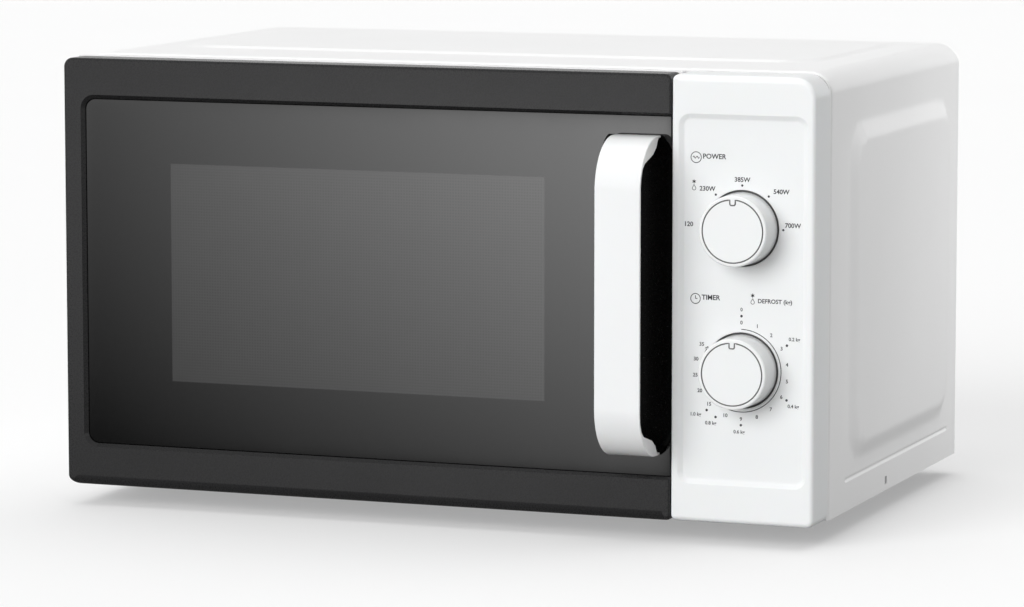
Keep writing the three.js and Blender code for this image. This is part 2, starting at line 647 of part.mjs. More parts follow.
function chokeCover() {
  const plate = box(inner.x0, inner.x1, 14.7, doorBack, inner.z0, inner.z1);
  const hole = roundedRectangle(viewHole.x0, viewHole.x1, viewHole.z0, viewHole.z1, 6);
  return cut(plate, extrude(hole, 'front', 10, 20, { curveSegments: 2 }), ...hook.z.map((z) => hookSlot(z)));
}

function innerWindow() {
  const { x0, x1, z0, z1 } = viewHole;
  const shape = roundedRectangle(x0 + gap, x1 - gap, z0 + gap, z1 - gap, 5.7);
  return extrude(shape, 'front', 14.7, 16.2, { curveSegments: 2 });
}

// An arched strip: thin along the grip, thicker where both ends curve back to the face of the door.
function handle() {
  const { x0, x1, z0, z1, bend, grip, foot } = handleBar;
  const seat = glassFront - gap;
  const front = -handleReach;
  const back = front + grip;
  const shape = new THREE.Shape();
  shape.moveTo(seat, z0);
  shape.lineTo(front + bend, z0);
  shape.absarc(front + bend, z0 + bend, bend, -Math.PI / 2, -Math.PI, true);
  shape.absarc(front + bend, z1 - bend, bend, Math.PI, Math.PI / 2, true);
  shape.lineTo(seat, z1);
  shape.lineTo(seat, z1 - foot);
  shape.lineTo(-4, z1 - foot);
  shape.bezierCurveTo(-9, z1 - 7.5, -13, z1 - 10.5, -20, z1 - 11.5);
  shape.quadraticCurveTo(back - 0.2, z1 - 12.5, back, z1 - 22);
  shape.lineTo(back, z0 + 22);
  shape.quadraticCurveTo(back - 0.2, z0 + 12.5, -20, z0 + 11.5);
  shape.bezierCurveTo(-13, z0 + 10.5, -9, z0 + 7.5, -4, z0 + foot);
  shape.lineTo(seat, z0 + foot);
  return extrude(shape, 'side', x0, x1, { curveSegments: 4 });
}

const latchBar = { x0: 112, x1: 128, y0: inner.chokeFront, y1: inner.chokeBack, z0: 48, z1: 214 };

function doorLatch() {
  const { x0, x1, y0, y1, z0, z1 } = latchBar;
  const bar = box(x0, x1, y0, y1, z0, z1);
  const seat = box(115, 125, 8.6, y1, z1 - 2, z1 + 1);
  const hooks = hook.z.flatMap((z) => [
    box(hook.x0, hook.x1, y1 - 1, hook.tipY, z, z + hook.thickness),
    box(hook.x0, hook.x1, 30.8, hook.tipY, z - hook.barb, z + 1),
  ]);
  return join(bar, seat, ...hooks);
}

// Coil spring between the latch and the top of the door.
function latchSpring() {
  const [turns, coilRadius, wire] = [5, 2.2, 0.4];
  const [springX, springY] = [120, 11.4];
  const [z0, z1] = [latchBar.z1 + 1 + gap + wire, 231];
  const points = [];
  const perTurn = 7;
  for (let i = 0; i <= turns * perTurn; i += 1) {
    const angle = (i / perTurn) * 2 * Math.PI;
    const rise = z0 + ((z1 - z0 - wire) * i) / (turns * perTurn);
    const [across, deep] = [coilRadius * Math.cos(angle), coilRadius * Math.sin(angle)];
    points.push(new THREE.Vector3(springX + across, springY + deep, rise));
  }
  const circle = new THREE.Shape().absarc(0, 0, wire, 0, 2 * Math.PI);
  const path = new THREE.CatmullRomCurve3(points);
  const settings = { steps: turns * perTurn, bevelEnabled: false, extrudePath: path, curveSegments: 2 };
  return toSolid(new THREE.ExtrudeGeometry(circle, settings));
}

// ---- turntable ----
const floorZ = cavity.z0;
const roller = { radius: 6.8, bore: 2.3, x0: 94, x1: 102, z: floorZ + gap + 6.8 };
const trayBottom = roller.z + roller.radius + gap;

function turntableMotor() {
  const top = floorZ - sheet - gap;
  const can = cylinder('z', [trayX, trayY, 0], 24.5, top - 14, top, 28);
  const ears = box(trayX - 32, trayX + 32, trayY - 6, trayY + 6, top - 1.5, top);
  return cut(join(can, ears), cylinder('z', [trayX, trayY, 0], 3.8, top - 8, top + 1, 12));
}

function turntableCoupler() {
  const at = [trayX, trayY, 0];
  const shaft = cylinder('z', at, 3.4, floorZ - 7, floorZ + 3, 12);
  const hub = cylinder('z', at, 9, floorZ + 1, floorZ + 11, 18);
  const arms = [];
  for (let i = 0; i < 3; i += 1) {
    const geometry = new THREE.BoxGeometry(20, 8, 10);
    geometry.translate(10, 0, 0);
    geometry.rotateZ((i * 2 * Math.PI) / 3);
    geometry.translate(trayX, trayY, floorZ + 6);
    arms.push(toSolid(geometry));
  }
  return join(shaft, hub, ...arms);
}

function glassTray() {
  const z = trayBottom;
  const [flat, edge, thick] = [100, 122.5, 4.5];
  const profile = [[0, z], [flat, z], [flat + 8, z + 1], [edge - 4.5, z + 9], [edge, z + 14],
    [edge - 1.5, z + 15], [edge - 8.5, z + 10], [flat + 6, z + thick + 0.5], [flat, z + thick],
    [0, z + thick]];
  const lugs = [];
  for (let i = 0; i < 3; i += 1) {
    const angle = ((i + 0.5) * 2 * Math.PI) / 3;
    const at = [trayX + 15 * Math.cos(angle), trayY + 15 * Math.sin(angle), 0];
    lugs.push(cylinder('z', at, 3.5, z - 5, z + 1, 10));
  }
  return join(turned(profile, 'z', [trayX, trayY, 0], 48), ...lugs);
}

function rollerRing() {
  const [r0, r1, half] = [84, 91, 3];
  const ring = [[r0, roller.z - half], [r1, roller.z - half], [r1, roller.z + half], [r0, roller.z + half],
    [r0, roller.z - half]];
  const pin = cylinder('x', [0, 0, roller.z], 1.9, r1 - 1, roller.x1 + 2, 10);
  const pins = [0, 1, 2].map((third) => turnedAbout(pin, third));
  return join(turned(ring, 'z', [0, 0, 0], 36), ...pins).translate([trayX, trayY, 0]);
}

// The same solid a third, or two thirds, of a turn round the tray's axis.
function turnedAbout(solid, third) {
  return solid.rotate([0, 0, rollerAngle + third * 120]);
}

const rollerAngle = 30;

function ringRoller(third) {
  const { radius, bore, x0, x1, z } = roller;
  const profile = [[bore, x0], [radius, x0], [radius, x1], [bore, x1], [bore, x0]];
  return turnedAbout(turned(profile, 'x', [0, 0, z], 18), third).translate([trayX, trayY, 0]);
}

// ---- finishes ----
const finishes = {
  whitePaint: { color: 0xf2f2f0, roughness: 0.45, metalness: 0.0 },
  cavityPaint: { color: 0xd9dad6, roughness: 0.5, metalness: 0.1 },
  whitePlastic: { color: 0xf4f4f2, roughness: 0.4, metalness: 0.0 },
  blackPlastic: { color: 0x1b1b1d, roughness: 0.35, metalness: 0.0 },
  darkGlass: { color: 0x2a2b2e, roughness: 0.08, metalness: 0.1 },
  clearGlass: { color: 0xdfe8e6, roughness: 0.05, metalness: 0.0 },
  mica: { color: 0xc9b48c, roughness: 0.6, metalness: 0.0 },
  zincSteel: { color: 0xb4b8ba, roughness: 0.4, metalness: 0.9 },
  laminations: { color: 0x5b5d60, roughness: 0.6, metalness: 0.7 },
  copper: { color: 0xb06a3a, roughness: 0.4, metalness: 0.8 },
  aluminium: { color: 0xc8cacc, roughness: 0.35, metalness: 0.9 },
  greyPlastic: { color: 0x9a9c9e, roughness: 0.5, metalness: 0.0 },
  redPlastic: { color: 0xb03a2e, roughness: 0.5, metalness: 0.0 },
  board: { color: 0xa77b42, roughness: 0.6, metalness: 0.0 },
  rubber: { color: 0x2b2b2b, roughness: 0.8, metalness: 0.0 },
};

const oven = new THREE.Group();
oven.name = 'microwave_oven';

function piece(name, finish, solid) {
  const geometry = toGeometry(solid);
  geometry.translate(0, frontY, footHeight);
  const mesh = new THREE.Mesh(geometry, new THREE.MeshStandardMaterial(finishes[finish]));
  mesh.name = name;
  oven.add(mesh);
}

piece('cabinet', 'whitePaint', cabinetWrap());
piece('base_plate', 'zincSteel', basePlate());
piece('rear_panel', 'zincSteel', rearPanel());
piece('cord_gland', 'greyPlastic', cordGland());
piece('rear_spacer_left', 'greyPlastic', rearSpacer(-150));
piece('rear_spacer_right', 'greyPlastic', rearSpacer(150));
for (const [end, y] of Object.entries(footRows)) {
  piece(`foot_${end}_left`, 'rubber', foot(-footX, y));
  piece(`foot_${end}_right`, 'rubber', foot(footX, y));
}

piece('front_plate', 'whitePaint', frontPlate());
piece('oven_cavity', 'cavityPaint', ovenCavity());
piece('waveguide_cover', 'mica', waveguideCover());
piece('waveguide', 'zincSteel', waveguide());
piece('cavity_lamp', 'clearGlass', cavityLamp());
piece('magnetron_yoke', 'zincSteel', magnetronYoke());
piece('magnetron_anode', 'aluminium', magnetronAnode());
piece('magnetron_filter', 'zincSteel', magnetronFilter());
piece('transformer_core', 'laminations', transformerCore());
piece('primary_winding', 'copper', winding(20.6, 40.4, 30));
piece('secondary_winding', 'copper', winding(43, 63.4, 28));
piece('hv_capacitor', 'aluminium', highVoltageCapacitor());
piece('hv_diode', 'blackPlastic', highVoltageDiode());
piece('line_filter', 'board', lineFilter());
piece('fan_shroud', 'zincSteel', fanShroud());
piece('fan_motor', 'laminations', fanMotor());
piece('fan_blade', 'greyPlastic', fanBlade());

piece('latch_board', 'whitePlastic', latchBoard());
for (const [name, place] of Object.entries(switches)) {
  piece(`${name}_switch`, 'redPlastic', microSwitch(place));
  piece(`${name}_plunger`, 'whitePlastic', plunger(place));
}

piece('control_panel', 'whitePlastic', controlPanel());
piece('power_knob', 'whitePlastic', dial(powerZ));
piece('timer_knob', 'whitePlastic', dial(timerZ));
piece('power_shaft', 'zincSteel', dialShaft(powerZ));
piece('timer_shaft', 'zincSteel', dialShaft(timerZ));
piece('power_selector', 'greyPlastic', powerSelector());
piece('timer_unit', 'zincSteel', timerUnit());
piece('timer_bell', 'aluminium', timerBell());

piece('lower_hinge', 'zincSteel', hinge(false));
piece('upper_hinge', 'zincSteel', hinge(true));
piece('door_frame', 'blackPlastic', doorFrame());
piece('door_glass', 'darkGlass', doorGlass());
piece('door_choke', 'zincSteel', doorChoke());
piece('choke_cover', 'blackPlastic', chokeCover());
piece('inner_window', 'clearGlass', innerWindow());
piece('door_handle', 'whitePlastic', handle());
piece('door_latch', 'whitePlastic', doorLatch());
piece('latch_spring', 'zincSteel', latchSpring());

piece('turntable_motor', 'zincSteel', turntableMotor());
piece('turntable_coupler', 'greyPlastic', turntableCoupler());
piece('glass_tray', 'clearGlass', glassTray());
piece('roller_ring', 'greyPlastic', rollerRing());
['a', 'b', 'c'].forEach((letter, third) => piece(`roller_${letter}`, 'greyPlastic', ringRoller(third)));

export default oven;
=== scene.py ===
"""Looks for the microwave oven: detailed pieces, materials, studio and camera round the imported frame.

Places are in millimetres in the body's own frame: x 0 in the middle, y 0 at the front of the control panel
and growing backwards, z 0 at the underside of the body. at() turns such a place into the frame's metres.
"""

import json
import math

import bmesh
import bpy
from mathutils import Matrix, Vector

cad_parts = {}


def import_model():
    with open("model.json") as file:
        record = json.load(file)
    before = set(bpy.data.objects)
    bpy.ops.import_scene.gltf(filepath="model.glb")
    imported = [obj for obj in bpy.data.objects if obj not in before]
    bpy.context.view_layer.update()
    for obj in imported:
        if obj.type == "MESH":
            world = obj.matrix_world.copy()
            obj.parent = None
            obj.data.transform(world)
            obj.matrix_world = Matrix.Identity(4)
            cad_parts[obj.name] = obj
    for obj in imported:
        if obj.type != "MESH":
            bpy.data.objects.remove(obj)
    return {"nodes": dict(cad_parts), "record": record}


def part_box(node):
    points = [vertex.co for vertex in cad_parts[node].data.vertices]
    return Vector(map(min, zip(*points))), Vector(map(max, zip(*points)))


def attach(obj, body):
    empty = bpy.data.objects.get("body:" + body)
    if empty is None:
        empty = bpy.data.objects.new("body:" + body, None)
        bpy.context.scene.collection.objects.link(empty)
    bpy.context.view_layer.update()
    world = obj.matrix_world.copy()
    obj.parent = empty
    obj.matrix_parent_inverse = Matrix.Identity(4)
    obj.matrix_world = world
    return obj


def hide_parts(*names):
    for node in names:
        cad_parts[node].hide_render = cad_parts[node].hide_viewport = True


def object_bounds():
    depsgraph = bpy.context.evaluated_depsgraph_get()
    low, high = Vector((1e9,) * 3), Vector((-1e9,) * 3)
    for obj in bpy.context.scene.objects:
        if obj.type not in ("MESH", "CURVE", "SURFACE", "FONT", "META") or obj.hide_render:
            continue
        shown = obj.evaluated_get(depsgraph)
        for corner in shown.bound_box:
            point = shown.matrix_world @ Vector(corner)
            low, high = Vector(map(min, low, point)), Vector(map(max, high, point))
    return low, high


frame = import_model()
cad_low, cad_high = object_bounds()

MM = 0.001
PANEL_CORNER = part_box("control_panel")[0]
FRONT = PANEL_CORNER.y
BASE = PANEL_CORNER.z


def at(x, y, z):
    return Vector((x * MM, FRONT + y * MM, BASE + z * MM))


class Span:
    """A node's extent in millimetres in the body's own frame."""

    def __init__(self, node):
        low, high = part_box(node)
        self.x0, self.x1 = low.x / MM, high.x / MM
        self.y0, self.y1 = (low.y - FRONT) / MM, (high.y - FRONT) / MM
        self.z0, self.z1 = (low.z - BASE) / MM, (high.z - BASE) / MM
        self.x, self.y, self.z = (self.x0 + self.x1) / 2, (self.y0 + self.y1) / 2, (self.z0 + self.z1) / 2


PANEL = Span("control_panel")
DOOR = Span("door_frame")
CABINET = Span("cabinet")
GLASS = Span("door_glass")
GRIP = Span("door_handle")
POWER = Span("power_knob")
TIMER = Span("timer_knob")
TRAY = Span("glass_tray")
COVER = Span("choke_cover")

# the finger scoop behind the handle
SCOOP = {"x0": 100, "x1": 139.9, "z0": 35, "z1": 208.3, "corner": 12.6, "floor": 10.6, "slope": 6}

# ---- mesh building ----


def in_scene(name, data):
    """A new object in the scene."""
    piece = bpy.data.objects.new(name, data)
    bpy.context.scene.collection.objects.link(piece)
    return piece


def mesh_piece(name, points, faces):
    """A mesh object from places in millimetres, with its faces turned outwards."""
    mesh = bpy.data.meshes.new(name)
    mesh.from_pydata([at(*p) for p in points], [], faces)
    mesh.validate()
    shape = bmesh.new()
    shape.from_mesh(mesh)
    bmesh.ops.remove_doubles(shape, verts=shape.verts, dist=1e-6)
    bmesh.ops.recalc_face_normals(shape, faces=shape.faces)
    shape.to_mesh(mesh)
    shape.free()
    return in_scene(name, mesh)


def evaluated_mesh(piece):
    """The mesh that a piece's modifiers, or its lettering, come to."""
    bpy.context.view_layer.update()
    graph = bpy.context.evaluated_depsgraph_get()
    return bpy.data.meshes.new_from_object(piece.evaluated_get(graph))


def settle(piece):
    """Turns the modifiers' result into the piece's own mesh."""
    mesh = evaluated_mesh(piece)
    piece.modifiers.clear()
    piece.data = mesh
    return piece


def boolean(piece, tools, operation):
    """Cuts, joins or bounds a piece with the tools, which are used up."""
    for tool in tools:
        change = piece.modifiers.new("boolean", "BOOLEAN")
        change.operation = operation
        change.solver = "EXACT"
        change.object = tool
    settle(piece)
    for tool in tools:
        bpy.data.objects.remove(tool)
    return piece


def carve(piece, *tools):
    return boolean(piece, tools, "DIFFERENCE")


def add(piece, *tools):
    return boolean(piece, tools, "UNION")


def bevel(piece, width, segments, limit):
    """A modifier that rounds the edges that are sharper than the limit."""
    change = piece.modifiers.new("bevel", "BEVEL")
    change.width = width * MM
    change.segments = segments
    change.limit_method = "ANGLE"
    change.angle_limit = math.radians(limit)


def rectangle(u0, u1, v0, v1, radii, steps=8):
    """Corner-rounded rectangle, anticlockwise, as (u, v, outward u, outward v); radii start low-low."""
    radii = [radii] * 4 if isinstance(radii, (int, float)) else radii
    middles = [(u0, v0, 1, 1), (u1, v0, -1, 1), (u1, v1, -1, -1), (u0, v1, 1, -1)]
    points = []
    for corner, ((u, v, in_u, in_v), radius) in enumerate(zip(middles, radii)):
        count = steps if radius > 0 else 0
        for step in range(count + 1):
            turn = step / count if count else 0.5
            angle = math.pi * (1 + corner / 2 + turn / 2)
            away_u, away_v = math.cos(angle), math.sin(angle)
            place_u = u + in_u * radius + radius * away_u
            place_v = v + in_v * radius + radius * away_v
            points.append((place_u, place_v, away_u, away_v))
    return points


# how an outline's two directions and its third one become x, y and z
VIEWS = {
    "front": lambda u, v, w: (u, w, v),
    "side": lambda u, v, w: (w, u, v),
    "above": lambda u, v, w: (u, v, w),
}


def loft(name, rings):
    """A skin through rings of places with the same count, capped at both ends."""
    count = len(rings[0])
    points = [p for ring in rings for p in ring]
    faces = []
    for row in range(len(rings) - 1):
        for i in range(count):
            j = (i + 1) % count
            a, b = row * count, (row + 1) * count
            faces.append((a + i, a + j, b + j, b + i))
    faces.append(tuple(range(count))[::-1])
    faces.append(tuple(range((len(rings) - 1) * count, len(rings) * count)))
    return mesh_piece(name, points, faces)


def prism(name, outline, view, start, end):
    """An outline seen from the front, side or above, made solid from start to end."""
    turn = VIEWS[view]
    return loft(name, [[turn(p[0], p[1], w) for p in outline] for w in (start, end)])


def stack(name, outline, view, levels):
    """Rings of the same outline at (inset, place) levels."""
    turn = VIEWS[view]
    rings = []
    for inset, w in levels:
        rings.append([turn(u - away_u * inset, v - away_v * inset, w) for u, v, away_u, away_v in outline])
    return loft(name, rings)


def brick(name, x0, x1, y0, y1, z0, z1):
    return prism(name, [(x0, z0), (x1, z0), (x1, z1), (x0, z1)], "front", y0, y1)


def turned(name, profile, axis, centre, segments):
    """A lathe piece: (radius, place) pairs along the axis, through the centre."""
    points, faces, rows = [], [], []
    for radius, place in profile:
        row = []
        for i in range(segments if radius > 0 else 1):
            angle = 2 * math.pi * i / segments
            across, up = radius * math.cos(angle), radius * math.sin(angle)
            spot = {"y": (across, place, up), "z": (across, up, place)}[axis]
            row.append(len(points))
            points.append(tuple(c + s for c, s in zip(centre, spot)))
        rows.append(row)
    for first, second in zip(rows, rows[1:]):
        for i in range(segments):
            j = (i + 1) % segments
            corners = [first[i % len(first)], first[j % len(first)]]
            corners += [second[j % len(second)], second[i % len(second)]]
            corners = list(dict.fromkeys(corners))
            if len(corners) > 2:
                faces.append(tuple(corners))
    return mesh_piece(name, points, faces)


def rod(name, radius, start, end, axis, centre, segments):
    """A plain cylinder from start to end along the axis."""
    return turned(name, [(0, start), (radius, start), (radius, end), (0, end)], axis, centre, segments)


def arc(radius, centre_u, centre_v, start, end, steps):
    """Points along an arc, angles in degrees."""
    turns = [math.radians(start + (end - start) * i / steps) for i in range(steps + 1)]
    return [(centre_u + radius * math.cos(t), centre_v + radius * math.sin(t)) for t in turns]


def merged(name, parts):
    """One piece from several meshes."""
    shape = bmesh.new()
    for part in parts:
        shape.from_mesh(part.data)
    mesh = bpy.data.meshes.new(name)
    shape.to_mesh(mesh)
    shape.free()
    for part in parts:
        bpy.data.objects.remove(part)
    return in_scene(name, mesh)


def smooth(piece, limit, ease=0.0, weight=100):
    """Even shading: edges sharper than the limit are kept, or rounded a little where ease is given."""
    for face in piece.data.polygons:
        face.use_smooth = True
    piece.data.set_sharp_from_angle(angle=math.radians(limit))
    if ease:
        bevel(piece, ease, 2, limit)
    evening = piece.modifiers.new("evening", "WEIGHTED_NORMAL")
    evening.keep_sharp = True
    evening.weight = weight


def place(piece, body, slot, replaces=(), limit=35, material=None):
    """Finishes a new piece: shading, material, the body it rides on and the nodes it stands for."""
    smooth(piece, limit)
    piece.data.materials.clear()
    piece.data.materials.append(material or MATERIALS[slot])
    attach(piece, body)
    if replaces:
        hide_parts(*replaces)


# ---- materials ----


class Nodes:
    """Small helper for writing the nodes of a world or a material."""

    def __init__(self, owner, place):
        owner.use_nodes = True
        self.tree = owner.node_tree
        self.place = self.node("ShaderNodeTexCoord").outputs[place]

    def node(self, kind, links=None, **settings):
        """A new node; links gives its inputs, each a plain value or another node's socket."""
        made = self.tree.nodes.new(kind)
        for key, value in settings.items():
            setattr(made, key, value)
        for socket, value in (links or {}).items():
            if isinstance(value, bpy.types.NodeSocket):
                self.tree.links.new(value, made.inputs[socket])
            else:
                made.inputs[socket].default_value = value
        return made

    def math(self, operation, first, second=0.0):
        return self.node("ShaderNodeMath", {0: first, 1: second}, operation=operation).outputs[0]

    def between(self, value, low, high, start=0.0, end=1.0, curve="LINEAR"):
        """Maps value from start..end to low..high."""
        links = {"Value": value, "From Min": start, "From Max": end, "To Min": low, "To Max": high}
        return self.node("ShaderNodeMapRange", links, interpolation_type=curve).outputs["Result"]

    def along(self, axis):
        return self.node("ShaderNodeSeparateXYZ", {0: self.place}).outputs[axis]


class Finish(Nodes):
    """A material: its nodes lead into one shader."""

    def __init__(self, name):
        self.material = bpy.data.materials.new(name)
        super().__init__(self.material, "Object")
        self.shader = self.tree.nodes["Principled BSDF"]
        self.output = self.tree.nodes["Material Output"]

    def link(self, source, socket):
        self.tree.links.new(source, self.shader.inputs[socket])

    def noise(self, per_metre, detail=3.0, stretch=None):
        where = self.place
        if stretch:
            where = self.node("ShaderNodeMapping", {"Vector": where, "Scale": stretch}).outputs["Vector"]
        links = {"Vector": where, "Scale": per_metre, "Detail": detail}
        return self.node("ShaderNodeTexNoise", links).outputs["Fac"]

    def cells(self, per_metre, feature="F1"):
        links = {"Vector": self.place, "Scale": per_metre}
        return self.node("ShaderNodeTexVoronoi", links, feature=feature).outputs["Distance"]

    def bands(self, per_metre, direction, distortion):
        links = {"Vector": self.place, "Scale": per_metre, "Distortion": distortion}
        return self.node("ShaderNodeTexWave", links, bands_direction=direction).outputs["Fac"]

    def blend(self, factor, first, second):
        """A mix of two colours; the mix node keeps its colour inputs at 6 and 7."""
        return self.node("ShaderNodeMix", {0: factor, 6: first, 7: second}, data_type="RGBA").outputs[2]

    def paint(self, factor, first, second):
        self.link(self.blend(factor, first, second), "Base Color")

    def gloss(self, factor, low, high):
        self.link(self.between(factor, low, high), "Roughness")

    def bump(self, height, strength, distance):
        links = {"Height": height, "Strength": strength, "Distance": distance * MM}
        self.link(self.node("ShaderNodeBump", links).outputs["Normal"], "Normal")

    def set(self, **values):
        """Sets the shader's plain inputs and gives the finished material."""
        for key, value in values.items():
            self.shader.inputs[key.replace("_", " ")].default_value = value
        return self.material


def shade(colour, factor):
    return tuple(min(1.0, c * factor) for c in colour) + (1.0,)


def surface(name, colour, change=0.04, rough=(0.3, 0.4), grain=900.0, relief=0.02, cloud=14.0):
    """A material with drifting colour, uneven gloss and a fine grain: the base for most of the finishes."""
    n = Finish(name)
    drift = n.between(n.noise(cloud, 2.0), 0, 1, 0.3, 0.7)
    fine = n.noise(grain, 4.0)
    n.paint(drift, shade(colour, 1 - change), shade(colour, 1 + change))
    n.link(n.between(fine, rough[0], rough[1], 0.3, 0.7), "Roughness")
    n.bump(fine, 0.5, relief)
    return n


def white_paint():
    """Powder-coated sheet: a slight orange peel under a soft gloss."""
    n = surface("white_powder_coat", (0.88, 0.88, 0.88), 0.012, (0.3, 0.42), 700.0, 0.03, 9.0)
    return n.set(Specular_IOR_Level=0.5)


def cavity_paint():
    n = surface("cavity_enamel", (0.62, 0.63, 0.63), 0.03, (0.22, 0.34), 420.0, 0.05, 12.0)
    return n.set(Coat_Weight=0.25, Coat_Roughness=0.12)


def white_plastic(name, colour, rough):
    n = surface(name, colour, 0.01, rough, 1600.0, 0.012, 8.0)
    return n.set(Specular_IOR_Level=0.5, Subsurface_Weight=0.04)


def black_plastic():
    """Satin black, painted dead black with weak reflection inside the door's finger scoop: a painted shadow
    for the deep scoop.
    """
    n = surface("black_moulded_plastic", (0.018, 0.018, 0.0185), 0.08, (0.24, 0.32), 1300.0, 0.015, 18.0)
    satin = n.shader.inputs["Base Color"].links[0].from_socket
    # scoop masks the finger scoop, whose faces get painted shadow: near-black colour and less reflection
    scoop = inside(n, "X", SCOOP["x0"] * MM, SCOOP["x1"] * MM, 0.2 * MM)
    for axis, low, high in (("Y", FRONT + 0.6 * MM, FRONT + 14 * MM),
                            ("Z", BASE + (SCOOP["z0"] - 1) * MM, BASE + (SCOOP["z1"] + 1) * MM)):
        scoop = n.math("MULTIPLY", scoop, inside(n, axis, low, high, 0.2 * MM))
    n.paint(scoop, satin, (0.0012, 0.0012, 0.0012, 1))
    n.link(n.between(scoop, 0.5, 0.06), "Specular IOR Level")
    return n.material


def inside(n, axis, low, high, soft):
    """1 between two places of an axis and 0 outside, with a soft border, in metres."""
    middle, half = (low + high) / 2, (high - low) / 2
    distance = n.math("ABSOLUTE", n.math("SUBTRACT", n.along(axis), middle))
    return n.between(distance, 1.0, 0.0, half - soft, half + soft)


def dots(n, pitch, low, high):
    """Round dots in a square grid seen from the front: 1 in a dot, 0 between, pitch in millimetres."""
    squares = []
    for axis in ("X", "Z"):
        share = n.math("FRACT", n.math("MULTIPLY", n.along(axis), 1 / (pitch * MM)))
        off = n.math("SUBTRACT", share, 0.5)
        squares.append(n.math("MULTIPLY", off, off))
    away = n.math("SQRT", n.math("ADD", squares[0], squares[1]))
    return n.between(away, 1.0, 0.0, low, high)


# the see-through field, from the glass's edges
WINDOW = {"left": 52.0, "right": 72.3, "low": 37.3, "high": 35.1}


def grey(n, level):
    return n.node("ShaderNodeCombineColor", {0: level, 1: level, 2: level}).outputs[0]


def dark_glass():
    """Glass printed black round the edge, with a see-through field of fine dots over the screen behind it."""
    n = Finish("printed_door_glass")
    low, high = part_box("door_glass")
    across = inside(n, "X", low.x + WINDOW["left"] * MM, high.x - WINDOW["right"] * MM, 0.3 * MM)
    upright = inside(n, "Z", low.z + WINDOW["low"] * MM, high.z - WINDOW["high"] * MM, 0.3 * MM)
    field = n.math("MULTIPLY", across, upright)
    pattern = n.between(dots(n, 1.6, 0.26, 0.36), 1.12, 0.86)
    haze = n.between(n.noise(60.0, 2.0), 0.94, 1.06)
    screen = n.math("MULTIPLY", n.math("MULTIPLY", pattern, haze), 0.034)
    speck = n.between(n.noise(500.0, 2.0), 0.0025, 0.0055)
    n.paint(field, grey(n, speck), grey(n, screen))
    n.gloss(n.noise(35.0, 3.0), 0.03, 0.06)
    n.bump(n.noise(5.0, 1.0), 0.05, 0.03)
    return n.set(IOR=1.52)


def clear_glass():
    n = Finish("clear_tray_glass")
    n.paint(n.noise(30.0), (0.93, 0.97, 0.95, 1), (0.97, 0.99, 0.98, 1))
    n.gloss(n.noise(80.0), 0.02, 0.07)
    n.bump(n.noise(60.0, 2.0), 0.15, 0.1)
    return n.set(Transmission_Weight=0.92, IOR=1.5)


def mica():
    n = surface("mica_sheet", (0.47, 0.43, 0.35), 0.18, (0.18, 0.5), 260.0, 0.05, 90.0)
    return n.set(Coat_Weight=0.4, Coat_Roughness=0.2, Specular_IOR_Level=0.6)


def zinc_steel():
    """Galvanised sheet with its spangle."""
    n = Finish("zinc_coated_steel")
    spangle = n.between(n.cells(170.0), 0, 1, 0.0, 0.9)
    n.paint(spangle, (0.72, 0.73, 0.75, 1), (0.80, 0.81, 0.83, 1))
    n.gloss(spangle, 0.34, 0.42)
    n.bump(n.noise(800.0, 3.0), 0.3, 0.02)
    return n.set(Metallic=1.0)


def laminations():
    n = Finish("stacked_laminations")
    band = n.bands(320.0, "Y", 0.4)
    n.paint(band, (0.10, 0.10, 0.11, 1), (0.26, 0.26, 0.27, 1))
    n.gloss(n.noise(400.0), 0.4, 0.65)
    n.bump(band, 0.6, 0.15)
    return n.set(Metallic=0.7)


def copper():
    n = Finish("enamelled_copper_wire")
    band = n.bands(260.0, "Z", 0.3)
    n.paint(band, (0.32, 0.10, 0.04, 1), (0.78, 0.36, 0.16, 1))
    n.gloss(n.noise(500.0), 0.25, 0.4)
    n.bump(band, 0.7, 0.3)
    return n.set(Metallic=0.9)


def aluminium():
    n = Finish("drawn_aluminium")
    brush = n.noise(60.0, 4.0, (1.0, 1.0, 24.0))
    n.paint(brush, (0.70, 0.71, 0.73, 1), (0.86, 0.87, 0.88, 1))
    n.gloss(brush, 0.22, 0.42)
    n.bump(brush, 0.25, 0.03)
    return n.set(Metallic=1.0)


def board():
    """Pale laminate board with printed tracks."""
    n = Finish("circuit_board")
    tracks = n.between(n.cells(220.0, "DISTANCE_TO_EDGE"), 1.0, 0.0, 0.02, 0.06)
    n.paint(tracks, (0.16, 0.11, 0.045, 1), (0.35, 0.26, 0.10, 1))
    n.gloss(n.noise(300.0), 0.4, 0.6)
    n.bump(tracks, 0.4, 0.05)
    return n.material


def rubber():
    n = surface("moulded_rubber", (0.035, 0.035, 0.036), 0.15, (0.6, 0.8), 900.0, 0.05, 60.0)
    return n.set(Specular_IOR_Level=0.35)


def screen_paint():
    """The black choke screen with its punched holes."""
    n = Finish("punched_screen")
    hole = dots(n, 2.4, 0.30, 0.36)
    n.paint(hole, (0.05, 0.05, 0.052, 1), (0.004, 0.004, 0.004, 1))
    n.gloss(n.noise(700.0), 0.35, 0.5)
    n.bump(hole, 0.6, -0.3)
    return n.material


def ink():
    n = surface("panel_print", (0.05, 0.05, 0.055), 0.1, (0.4, 0.55), 1500.0, 0.004, 300.0)
    return n.set(Specular_IOR_Level=0.3)


